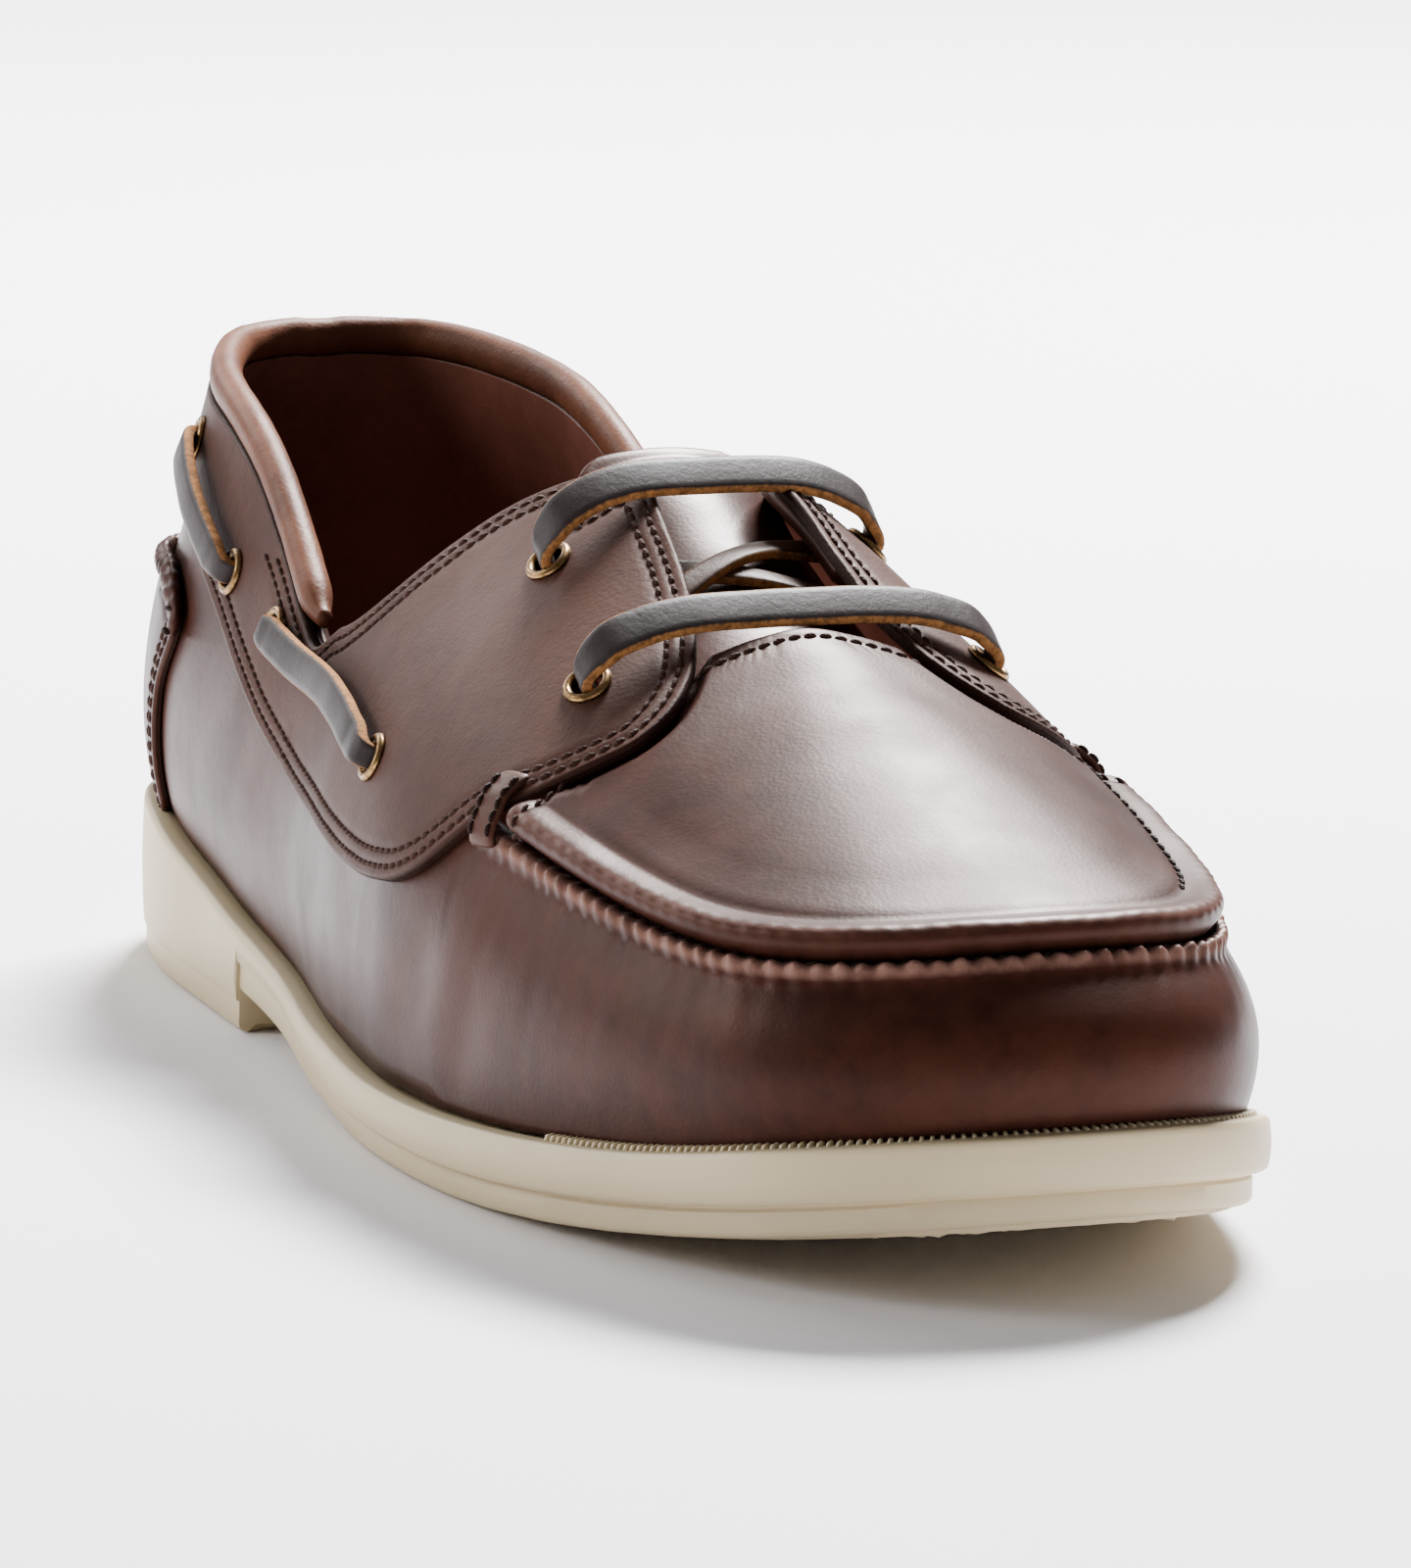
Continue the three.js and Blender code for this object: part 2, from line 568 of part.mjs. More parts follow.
function makeSole() {
  const half = RING_STEPS / 2;
  const tierInset = (s) => 1 + 1.2 * THREE.MathUtils.smoothstep(s, 120, 190);
  const levels = [
    (phi, s) => [tierInset(s), BLANK_BOTTOM],
    (phi, s) => [tierInset(s), underside(s) + TIER],
    (phi, s) => [0, underside(s) + TIER + 0.9],
    () => [0, null],
    () => [FEATHER_INSET - 0.8, null],
  ];
  const rings = levels.map((level) => {
    const ring = [];
    for (let k = 0; k < RING_STEPS; k += 1) {
      const phi = (2 * Math.PI * k) / RING_STEPS;
      const [distance, z] = level(phi, stationOf(phi));
      const p = inset(phi, distance);
      ring.push(new THREE.Vector3(p.x, p.y, z === null ? footbed(p.y) : z));
    }
    return ring;
  });
  const positions = rings.flat().flatMap((p) => [p.x, p.y, p.z]);
  const index = [];
  for (let i = 0; i < rings.length - 1; i += 1) {
    for (let k = 0; k < RING_STEPS; k += 1) {
      const a = i * RING_STEPS + k;
      const b = i * RING_STEPS + ((k + 1) % RING_STEPS);
      index.push(a, b, b + RING_STEPS, a, b + RING_STEPS, a + RING_STEPS);
    }
  }
  const cap = (ring, up) => {
    const at = (k) => ring * RING_STEPS + ((k + RING_STEPS) % RING_STEPS);
    const put = (a, b, c) => index.push(...(up ? [a, b, c] : [a, c, b]));
    for (let k = 0; k < half; k += 1) {
      if (k < half - 1) put(at(k), at(k + 1), at(-k - 1));
      if (k > 0) put(at(k), at(-k - 1), at(-k));
    }
  };
  cap(0, false);
  cap(rings.length - 1, true);
  const geometry = new THREE.BufferGeometry();
  geometry.setAttribute('position', new THREE.Float32BufferAttribute(positions, 3));
  geometry.setIndex(index);
  const below = [{ s: -8, z: -12 }, { s: LENGTH + 8, z: -12 }, { s: LENGTH + 8, z: 12.6 }];
  const profile = [...below, ...[...UNDERSIDE].reverse(), { s: -8, z: 12 }];
  let body = solid(geometry).subtract(sidePrism(profile, -80, 80));
  for (const groove of GROOVES) body = body.subtract(grooveCutter(groove));
  return geometryOf(body);
}

function grooveCutter({ s, width, depth }) {
  const left = around(OUTLINE, 'lateral', 'medial', angleOf(s)) + 12;
  const right = around(OUTLINE, 'lateral', 'medial', 2 * Math.PI - angleOf(s)) - 12;
  const box = new THREE.BoxGeometry(right - left, width, 2 * depth);
  box.translate((left + right) / 2, LENGTH / 2 - s, underside(s));
  return solid(box);
}

// Insole: a plate on the footbed, inside the wall.
function makeInsole() {
  const half = RING_STEPS / 2;
  const distance = FEATHER_INSET + WALL + GAP + 0.6;
  const rows = [];
  for (let k = 1; k < half; k += 1) {
    const phi = (2 * Math.PI * k) / RING_STEPS;
    const sides = [inset(phi, distance), inset(-phi, distance)];
    const lift = [GAP, GAP + INSOLE];
    const corner = (p, h) => new THREE.Vector3(p.x, p.y, footbed(p.y) + h);
    rows.push([
      corner(sides[0], lift[0]), corner(sides[1], lift[0]),
      corner(sides[1], lift[1]), corner(sides[0], lift[1]),
    ]);
  }
  return geometryOf(outwardSolid(gridBody(rows, false, true)));
}

// Materials.
function finish(color, roughness, metalness = 0) {
  return new THREE.MeshStandardMaterial({ color, roughness, metalness });
}
const RUBBER = finish(0xd9cfb4, 0.6);
const LEATHER = finish(0x5a3428, 0.35);
const SADDLE_LEATHER = finish(0x6b4337, 0.4);
const ROLL_LEATHER = finish(0x8c5a42, 0.45);
const LINING = finish(0x3c1f1a, 0.6);
const LACE_LEATHER = finish(0x7a6a63, 0.55);
const BRASS = finish(0x8a6a3c, 0.35, 1);

const shoe = new THREE.Group();

function put(name, geometry, material) {
  const mesh = new THREE.Mesh(geometry, material);
  mesh.name = name;
  shoe.add(mesh);
}

put('sole', makeSole(), RUBBER);
put('insole', makeInsole(), LINING);
put('upper', makeUpper(), LEATHER);
put('tongue', makeTongue(), LEATHER);
put('heel_counter', makeCounter(), LEATHER);
put('collar_roll', makeCollarRoll(), ROLL_LEATHER);
put('plug_roll', makePlugRoll(), LEATHER);
for (const [side, label] of [[-1, 'lateral'], [1, 'medial']]) {
  put(`saddle_${label}`, makeSaddle(side), SADDLE_LEATHER);
  put(`tab_${label}`, makeTab(side), ROLL_LEATHER);
  for (const row of EYELETS) put(`eyelet_${label}_${row.name}`, makeEyelet(side, row), BRASS);
  for (const row of SIDE_LACES) put(`side_lace_${label}_${row.name}`, makeSideLace(side, row), LACE_LEATHER);
}
for (const row of BARS) put(`lace_bar_${row.name}`, makeBar(row), LACE_LEATHER);
put('lace_cross', makeLaceCross(), LACE_LEATHER);

export default shoe;
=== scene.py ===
"""Boat shoe, right foot: leather panels, seams, laces, eyelets and tread around the packed frame.

Sizes are millimetres until a mesh is made. Toe along -Y, heel along +Y, lateral side -X.
Stations s run from the back of the heel, phi goes around the foot, w up and over the foot.
"""

import math

import bmesh
import bpy
import numpy as np
from mathutils import Matrix, Vector


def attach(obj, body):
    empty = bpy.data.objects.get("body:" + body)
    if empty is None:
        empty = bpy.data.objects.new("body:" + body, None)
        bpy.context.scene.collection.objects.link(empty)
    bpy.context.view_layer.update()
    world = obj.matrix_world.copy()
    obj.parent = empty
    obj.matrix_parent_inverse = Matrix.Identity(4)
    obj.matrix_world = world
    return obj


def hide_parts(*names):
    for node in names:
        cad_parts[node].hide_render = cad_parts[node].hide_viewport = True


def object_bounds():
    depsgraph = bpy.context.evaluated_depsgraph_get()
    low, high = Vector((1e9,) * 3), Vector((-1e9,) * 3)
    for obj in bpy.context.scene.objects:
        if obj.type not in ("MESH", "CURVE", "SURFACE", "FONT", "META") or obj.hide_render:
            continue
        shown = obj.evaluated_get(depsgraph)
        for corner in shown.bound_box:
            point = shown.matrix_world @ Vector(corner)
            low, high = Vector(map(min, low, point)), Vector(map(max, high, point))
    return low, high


bl_info = {
    "name": "Boat Shoe",
    "version": (1, 0, 0),
    "blender": (4, 5, 0),
    "location": "View3D > Sidebar > Shoe",
    "description": "Builds a boat shoe's leather, stitching, laces and tread around its frame",
    "category": "Object",
}

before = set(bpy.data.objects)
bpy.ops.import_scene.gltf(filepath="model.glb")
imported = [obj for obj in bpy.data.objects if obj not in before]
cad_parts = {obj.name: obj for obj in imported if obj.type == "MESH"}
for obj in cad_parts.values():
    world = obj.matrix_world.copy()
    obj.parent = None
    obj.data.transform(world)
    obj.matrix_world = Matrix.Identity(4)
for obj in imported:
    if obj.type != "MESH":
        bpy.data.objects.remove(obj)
CAD_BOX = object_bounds()

MM = 0.001
TURN = 2 * math.pi
LENGTH = round((CAD_BOX[1].y - CAD_BOX[0].y) / MM, 3)

# Construction of the shoe.
FEATHER_INSET = 3.5
GAP = 0.3
WALL = 2.2
OVERLAY = 1.6
COUNTER = 1.3
INSOLE = 3.0
TONGUE_WALL = 1.8
ROLL_DROP = 5.3
TIER = 4.6
HEEL_LENGTH = 94.0
THROAT_CENTRE = 1.6
PLUG_REAR = 208.5
TAB_STATION = 208.0
EYELET_HOLE = 2.3
LACE_WIDTH = 5.6
LACE_THICKNESS = 2.0
SIDES = {"lateral": -1, "medial": 1}


def table(columns, rows):
    """Short table as arrays by column name."""
    return dict(zip(columns.split(), np.array(rows, float).T))


OUTLINE = table("s lateral medial", [
    (0, 1.6, 1.6), (6, -16, 22), (20, -30, 32), (45, -37.5, 37), (80, -40.5, 35),
    (115, -43, 32.5), (150, -49.5, 38), (185, -53.75, 49), (210, -52.8, 53.2),
    (235, -48.5, 53.4), (260, -41.5, 49.5), (280, -32.5, 42.5), (293, -19.5, 31.5), (300, 7, 7),
])
FOOTBED = table("s z", [
    (0, 25), (30, 24.5), (60, 20.8), (94, 15.6), (120, 12.8), (150, 11.6), (205, 11.4),
    (235, 13.2), (260, 16.2), (280, 20), (300, 24),
])
UNDERSIDE = table("s z", [
    (-2, 1.2), (1.5, 0.6), (4, 0), (93.9, 0), (94.1, 6), (118, 4.4), (145, 1.8),
    (168, 0), (208, 0), (222, 0.5), (236, 1.5), (250, 3), (264, 4.9), (278, 7.2), (290, 9.4),
    (302, 11.8),
])
GROOVES = table("s width depth", [
    (28, 2.2, 1.6), (60, 2.2, 1.6), (160, 2.4, 1.4), (198, 2.4, 1.6), (233, 2.4, 1.6),
    (264, 2.4, 1.6),
])
LAST = table("s bulge rise shoulderL shoulderM zShoulder endL endM endS endZ", [
    (0, 6, 24, 0.15, 0.15, 76, 1.6, 1.6, 8, 95),
    (20, 7, 24, 0.2, 0.2, 76, -17, 21, 20, 94),
    (45, 8, 24, 0.3, 0.3, 74, -25, 27, 44, 93),
    (80, 8, 25, 0.4, 0.42, 72, -26, 26, 80, 92),
    (113, 7, 29, 0.52, 0.58, 74, -21, 22.5, 113, 93),
    (150, 6, 36, 0.68, 0.76, 79, -8, 11, 150, 98),
    (175, 6, 36, 0.74, 0.82, 77, -4, 9, 176, 93),
    (200, 6, 35, 0.76, 0.8, 71, -3, 8, 190, 86.5),
    (235, 7, 31, 0.79, 0.79, 60, -2, 6, 196, 82.5),
    (270, 8, 25, 0.8, 0.8, 51.5, -0.5, 4, 199, 81),
    (300, 9, 24, 0.8, 0.8, 49.5, 1.6, 1.6, 200, 80.5),
])
TOPLINE = table("s z", [
    (0, 95), (20, 94.5), (38, 92.8), (55, 90.5), (71, 86), (90, 77.5), (107, 69), (117, 65.2),
    (124, 65.6), (131, 68.5), (139, 73.5), (149, 81.5), (155, 87), (161, 91), (165, 92.8),
    (169, 93.6), (175, 94.5),
])
SADDLE_LOWER = table("s z", [
    (206, 52.6), (201, 48), (195.5, 44), (188, 40.8), (178, 39.2), (163, 38.8), (143, 40),
    (115, 43), (99, 47.2), (86, 52.6), (71.5, 59.2), (60, 64), (50, 68), (38, 72), (24, 75),
    (10, 76), (-10, 76),
])
SADDLE_FRONT = table("s across", [
    (150, 5.2), (160, 6), (169, 7.6), (180, 9.6), (194, 11.4), (206, 14.4), (213, 18),
    (217.5, 22.5), (219.5, 28), (218, 33.5), (214, 39.5), (208, 44), (203, 47.5),
])
COUNTER_EDGE = table("s z", [
    (-12, 22), (38, 22), (41, 25), (43, 32), (46, 44), (52, 55.5), (44, 60.5), (30, 61.5),
    (12, 60.5), (-12, 59.5),
])
TONGUE = table("s half ridge drop", [
    (153.6, 7, 95.6, 0.5), (154.3, 10, 95.5, 1.1), (156, 13, 94.9, 2.3),
    (159, 15, 93.7, 4.6), (166, 17, 90.9, 8.4), (174, 19, 86.8, 10.3),
    (184, 20, 81.6, 9.5), (195, 20, 76.6, 8), (205, 19, 71.9, 6), (214, 18, 67.8, 5),
])
EYELETS = {
    "upper": (175.6, 81.7), "lower": (204, 69), "side_1": (165, 53.5),
    "side_2": (97, 60.8), "side_3": (74, 65.9), "side_4": (38, 80.6),
}
SIDE_LACES = {"front": ("side_1", "side_2"), "rear": ("side_3", "side_4")}
BARS = {"upper": 9.0, "lower": 7.0}

# Moccasin seam in section: distance from the stitch line and height over the last.
VAMP_RIDGE = table("away height", [
    (12, 0), (9.5, 0), (7.5, 0), (6, 0.02), (5, 0.1), (4.2, 0.32), (3.6, 0.7), (3.1, 1.15),
    (2.6, 1.5), (2.1, 1.68), (1.6, 1.6), (1.1, 1.25), (0.7, 0.75), (0.35, 0.2), (0, -0.5),
])
PLUG_EDGE = table("away height", [
    (0.1, -0.7), (0.1, 0.6), (0.1, 1.7), (0.15, 2.7), (0.45, 3.5), (1.0, 4.1), (1.7, 4.4),
    (2.5, 4.35), (3.3, 3.95), (4.1, 3.3), (4.9, 2.6), (5.7, 2.05), (6.5, 1.75), (7.3, 1.65),
    (8.2, 1.6), (9.4, 1.4), (11, 1.2), (13, 1.05),
])


# Curves.
def hermite(xs, ys, x):
    """Smooth curve through the points of a table."""
    step = np.diff(xs)
    rate = np.diff(ys) / step
    slope = np.empty(len(xs))
    slope[0], slope[-1] = rate[0], rate[-1]
    slope[1:-1] = (step[1:] * rate[:-1] + step[:-1] * rate[1:]) / (step[:-1] + step[1:])
    k = np.clip(np.searchsorted(xs, x) - 1, 0, len(xs) - 2)
    h = step[k]
    t = (x - xs[k]) / h
    return ((2 * t**3 - 3 * t**2 + 1) * ys[k] + (t**3 - 2 * t**2 + t) * h * slope[k]
            + (3 * t**2 - 2 * t**3) * ys[k + 1] + (t**3 - t**2) * h * slope[k + 1])


def smoothstep(x, low, high):
    t = np.clip((np.asarray(x, float) - low) / (high - low), 0, 1)
    return t * t * (3 - 2 * t)


def bell(x, middle, width):
    return np.exp(-(((x - middle) / width) ** 2))


def station_of(phi):
    return LENGTH / 2 * (1 - np.cos(phi))


def angle_of(s):
    return np.arccos(1 - 2 * np.clip(s, 0, LENGTH) / LENGTH)


def along(rows, column, s):
    return hermite(rows["s"], rows[column], s)


def around(rows, lateral, medial, phi):
    """Closed curve around the foot: heel, lateral side, toe, medial side."""
    angle = angle_of(rows["s"])
    xs = np.concatenate([angle, TURN - angle[1:-1][::-1]])
    ys = np.concatenate([rows[lateral], rows[medial][1:-1][::-1]])
    xs = np.concatenate([xs[-3:] - TURN, xs, xs[:3] + TURN])
    ys = np.concatenate([ys[-3:], ys, ys[:3]])
    return hermite(xs, ys, np.mod(phi, TURN))


def edge(phi):
    return np.stack([around(OUTLINE, "lateral", "medial", phi), LENGTH / 2 - station_of(phi)], -1)


def inset(phi, distance):
    """Sole outline moved inwards."""
    step = 1e-3
    ahead = edge(phi + step) - edge(phi - step)
    ahead /= np.linalg.norm(ahead, axis=-1, keepdims=True)
    inward = np.stack([-ahead[..., 1], ahead[..., 0]], -1)
    return edge(phi) + inward * np.asarray(distance)[..., None], inward


def footbed(y):
    return along(FOOTBED, "z", LENGTH / 2 - y)


def underside(s):
    return np.interp(s, UNDERSIDE["s"], UNDERSIDE["z"])


def last(phi, w):
    """Surface of the last: the upper's outer face."""
    foot, inward = inset(phi, FEATHER_INSET)
    z = footbed(foot[..., 1]) + GAP
    out = around(LAST, "bulge", "bulge", phi)
    lean = around(LAST, "shoulderL", "shoulderM", phi)
    start = np.stack([foot[..., 0], foot[..., 1], z], -1)
    rise = np.stack([foot[..., 0] - inward[..., 0] * out, foot[..., 1] - inward[..., 1] * out,
                     z + around(LAST, "rise", "rise", phi)], -1)
    end = np.stack([around(LAST, "endL", "endM", phi),
                    LENGTH / 2 - around(LAST, "endS", "endS", phi),
                    around(LAST, "endZ", "endZ", phi)], -1)
    shoulder = end * (1 - lean[..., None]) + start * lean[..., None]
    shoulder[..., 2] = around(LAST, "zShoulder", "zShoulder", phi)
    w = np.asarray(w)[..., None]
    v = 1 - w
    return v**3 * start + 3 * v * v * w * rise + 3 * v * w * w * shoulder + w**3 * end


def last_normal(phi, w):
    step = 2e-3
    normal = np.cross(last(phi + step, w) - last(phi - step, w),
                      last(phi, w + step) - last(phi, w - step))
    return normal / np.linalg.norm(normal, axis=-1, keepdims=True)


def off_last(phi, w, lift):
    return last(phi, w) + last_normal(phi, w) * np.asarray(lift)[..., None]


def climb(phi, w):
    """Millimetres over the last for one unit of w."""
    step = 1e-3
    return np.linalg.norm(last(phi, w + step) - last(phi, w - step), axis=-1) / (2 * step)


def reach(phi, below):
    """Highest w, from the feather line up, where below(point) is still true."""
    steps = np.linspace(0.02, 0.985, 240)
    grid = last(phi[:, None], steps[None, :])
    ok = np.logical_and.accumulate(below(grid), axis=1)
    return steps[np.maximum(ok.sum(1) - 1, 0)]


def locate(side, s, z):
    """Place on the last at a station and height of one side."""
    phi = angle_of(s) if side < 0 else TURN - angle_of(s)
    for _ in range(25):
        low, high = 0.0, 1.0
        for _ in range(30):
            w = (low + high) / 2
            low, high = (w, high) if last(phi, w)[2] < z else (low, w)
        phi = phi - side * (s - (LENGTH / 2 - last(phi, w)[1])) * 0.006
    return float(phi), float(w)


def seam_reach(phi):
    return 0.47 - 0.05 * smoothstep(station_of(phi), 220, 295)


def roll_drop(s):
    return ROLL_DROP * (1 - smoothstep(s, 112, 124))


def ripple(u, waves, seed):
    """Uneven wave along a length, from a few wavelengths with fixed random phases."""
    phases = np.random.default_rng(seed).uniform(0, TURN, len(waves))
    return sum(np.sin(TURN * u / wave + p) for wave, p in zip(waves, phases)) / len(waves)


def lengths(points):
    steps = np.linalg.norm(np.diff(points, axis=0), axis=1)
    return np.concatenate([[0], np.cumsum(steps)])


def smooth_line(points, count):
    """Points along a smooth line through the given ones."""
    points = np.asarray(points, float)
    t = lengths(points)
    at = np.linspace(0, t[-1], count)
    return np.stack([hermite(t, column, at) for column in points.T], -1)


def columns(table_, names):
    return np.stack([table_[name] for name in names.split()], -1)


# Meshes.
def shown(name, points, faces, materials, slots=None, attributes=None, sharp=None):
    """Mesh object at the origin from millimetre points."""
    mesh = bpy.data.meshes.new(name)
    mesh.from_pydata((np.asarray(points) * MM).tolist(), [], [tuple(map(int, f)) for f in faces])
    for material in materials:
        mesh.materials.append(material)
    if slots is not None:
        mesh.polygons.foreach_set("material_index", np.asarray(slots, np.int32))
    mesh.shade_smooth()
    if sharp:
        mesh.set_sharp_from_angle(angle=math.radians(sharp))
    for key, values in (attributes or {}).items():
        mesh.attributes.new(key, "FLOAT", "POINT").data.foreach_set("value", np.asarray(values, np.float32))
    thing = bpy.data.objects.new(name, mesh)
    bpy.context.scene.collection.objects.link(thing)
    return thing


def finish_piece(piece, slot, *nodes):
    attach(piece, "root")
    if nodes:
        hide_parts(*nodes)
    return piece


def grid_faces(rows, count, close=False):
    i = np.arange(rows if close else rows - 1)[:, None]
    j = np.arange(count - 1)[None, :]
    after = (i + 1) % rows
    return np.stack([i * count + j, after * count + j, after * count + j + 1, i * count + j + 1],
                    -1).reshape(-1, 4).tolist()


def thicken(faces, count):
    """Faces of a closed body from an open face set: outer, inner and rim."""
    inner = [[v + count for v in reversed(face)] for face in faces]
    edges = {(a, b) for face in faces for a, b in zip(face, face[1:] + face[:1])}
    rim = [[b, a, a + count, b + count] for a, b in edges if (b, a) not in edges]
    return faces + inner + sorted(rim), [0] * len(faces) + [1] * len(inner) + [2] * len(rim)


def split(data, faces, key, level):
    """Cuts faces along data[key] = level, and returns the new faces and the cut's segments."""
    value = data[key] - level
    inside = (value >= 0).tolist()
    cuts, kept, segments = {}, [], []
    for face in faces:
        flags = {inside[v] for v in face}
        if len(flags) == 1:
            kept.append(face)
            continue
        halves = {True: [], False: []}
        crossed = []
        for a, b in zip(face, face[1:] + face[:1]):
            halves[inside[a]].append(a)
            if inside[a] != inside[b]:
                cut = cuts.setdefault((min(a, b), max(a, b)), len(value) + len(cuts))
                halves[True].append(cut)
                halves[False].append(cut)
                crossed.append(cut)
        kept += [half for half in halves.values() if len(half) > 2]
        segments.append(crossed[:2])
    if cuts:
        a, b = np.array(list(cuts)).T
        share = value[a] / (value[a] - value[b])
        for name, old in data.items():
            data[name] = np.concatenate([old, old[a] + (old[b] - old[a]) * share])
    return kept, segments


def chains(segments):
    """Ordered vertex lists from loose segments."""
    near = {}
    for a, b in segments:
        near.setdefault(a, []).append(b)
        near.setdefault(b, []).append(a)
    lines, seen = [], set()
    ends = [v for v in near if len(near[v]) == 1] + list(near)
    for start in ends:
        if start in seen:
            continue
        line = [start]
        seen.add(start)
        while True:
            ahead = [v for v in near[line[-1]] if v not in seen]
            if not ahead:
                break
            line.append(ahead[0])
            seen.add(ahead[0])
        if start in near[line[-1]] and len(line) > 2:
            line.append(start)
        if len(line) > 3:
            lines.append(line)
    return lines


def inside_distance(x, y, line):
    """Signed distance to a closed outline in its own plane, positive inside."""
    shape = x.shape
    x, y = x.ravel()[:, None], y.ravel()[:, None]
    ax, ay = line[:, 0][None], line[:, 1][None]
    bx, by = np.roll(line[:, 0], -1)[None], np.roll(line[:, 1], -1)[None]
    dx, dy = bx - ax, by - ay
    t = np.clip(((x - ax) * dx + (y - ay) * dy) / (dx * dx + dy * dy + 1e-12), 0, 1)
    nearest = np.sqrt(((x - ax - t * dx) ** 2 + (y - ay - t * dy) ** 2).min(1))
    crossing = ((ay > y) != (by > y)) & (x < ax + dx * (y - ay) / np.where(dy == 0, 1e-12, dy))
    return np.where(crossing.sum(1) % 2 == 1, nearest, -nearest).reshape(shape)


def over_surface(points, values):
    """A field's values as millimetres along the surface of a grid."""
    fi, fj = np.gradient(values)
    xi, xj = np.gradient(points, axis=0), np.gradient(points, axis=1)
    e, f, g = (xi * xi).sum(-1), (xi * xj).sum(-1), (xj * xj).sum(-1)
    slope = (g * fi * fi - 2 * f * fi * fj + e * fj * fj) / np.maximum(e * g - f * f, 1e-9)
    return values / np.sqrt(np.maximum(slope, 0.05))


def side_view(points):
    return LENGTH / 2 - points[..., 1], points[..., 2]


def saddle_fields(points):
    """Distances to the saddle's lower edge, front edge and topline."""
    s, z = side_view(points)
    across = np.abs(points[..., 0] - THROAT_CENTRE)
    lower = smooth_line(columns(SADDLE_LOWER, "s z"), 90)
    below = np.vstack([lower, [(-10, 130), (226, 130), (226, 56)]])
    front = smooth_line(columns(SADDLE_FRONT, "s across"), 90)
    ahead = np.vstack([front, [(196, 75), (-20, 75), (-20, -6), (140, -6)]])
    top = along(TOPLINE, "z", np.clip(s, 0, 175)) - roll_drop(s) - z + 2.5 * np.maximum(s - 172, 0)
    return [over_surface(points, inside_distance(s, z, below)),
            over_surface(points, inside_distance(s, across, ahead)),
            over_surface(points, top)]


def used_only(faces, count):
    """The points that the faces use, and the faces renumbered to them."""
    used = np.unique(np.concatenate([np.asarray(face) for face in faces]))
    place = np.full(count, -1)
    place[used] = np.arange(len(used))
    return used, [[int(place[v]) for v in face] for face in faces]


class Panel:
    """Piece of leather on the last: a grid in phi and w, cut to its outline, with two faces."""

    def __init__(self, phi, w, fields, holes=()):
        self.phi, self.w = np.meshgrid(phi, w, indexing="ij")
        points = last(self.phi, self.w)
        self.data = {"phi": self.phi.ravel(), "w": self.w.ravel(),
                     "edge": np.min(fields(points), axis=0).ravel()}
        self.data["hole"] = np.full(self.data["edge"].shape, 99.0)
        for hole in holes:
            away = np.linalg.norm(points - last(*hole), axis=-1).ravel() - EYELET_HOLE
            self.data["hole"] = np.minimum(self.data["hole"], away)
        self.faces = grid_faces(len(phi), len(w))
        self.rows = {}

    def trim(self, levels):
        for level in levels:
            self.faces, segments = split(self.data, self.faces, "edge", level)
            self.rows[level] = chains(segments)
        for level in (0, 0.35):
            self.faces, _ = split(self.data, self.faces, "hole", level)
        least = np.minimum(self.data["edge"], self.data["hole"]) > -1e-6
        self.faces = [face for face in self.faces if all(least[v] for v in face)]

    def body(self, name, inner, outer, rounding, materials, relief=None):
        """Makes the object: relief adds height to the outer face."""
        d = self.data
        rim = np.clip(np.minimum(d["edge"], d["hole"]), 0, rounding)
        lift = outer - (rounding - np.sqrt(rounding**2 - (rounding - rim) ** 2))
        if relief:
            lift = lift + relief(d)
        self.lift = lift
        used, faces = used_only(self.faces, len(lift))
        phi, w = d["phi"][used], d["w"][used]
        base, normal = last(phi, w), last_normal(phi, w)
        points = np.vstack([base + normal * lift[used][:, None], base + normal * inner])
        faces, kinds = thicken(faces, len(used))
        span = np.concatenate([np.minimum(d["edge"], d["hole"])[used]] * 2)
        slots = [0 if kind == 0 else 1 for kind in kinds]
        return shown(name, points, faces, materials, slots, {"edge": span}, sharp=50)

    def row(self, level, wanted=lambda s, z: True, lift=0.0):
        """Lines on the panel at a distance from its edge: points and normals."""
        found = []
        for chain in self.rows[level]:
            phi, w = self.data["phi"][chain], self.data["w"][chain]
            points = off_last(phi, w, self.lift[chain] + lift)
            normals = last_normal(phi, w)
            s, z = side_view(points)
            flags = np.array([bool(wanted(a, b)) for a, b in zip(s, z)])
            for part in np.split(np.arange(len(chain)), np.flatnonzero(np.diff(flags)) + 1):
                if flags[part[0]] and len(part) > 3:
                    found.append((points[part], normals[part]))
        return found


def ring_faces(rings, sides, closed=False):
    """Faces between rings of points; closed joins the last ring to the first."""
    faces = []
    for i in range(rings if closed else rings - 1):
        n = (i + 1) % rings
        for j in range(sides):
            k = (j + 1) % sides
            faces.append([i * sides + j, i * sides + k, n * sides + k, n * sides + j])
    return faces


def capped(faces, rings, sides):
    """Adds a face over the first ring and one over the last."""
    last_ring = (rings - 1) * sides
    return faces + [list(range(sides))[::-1], list(range(last_ring, last_ring + sides))]


def turned_to(middle, ahead, up):
    """Frames along a line: directions ahead, across and up."""
    ahead = ahead / np.linalg.norm(ahead, axis=-1, keepdims=True)
    across = np.cross(up, ahead)
    across /= np.linalg.norm(across, axis=-1, keepdims=True)
    return middle, across, np.cross(ahead, across)


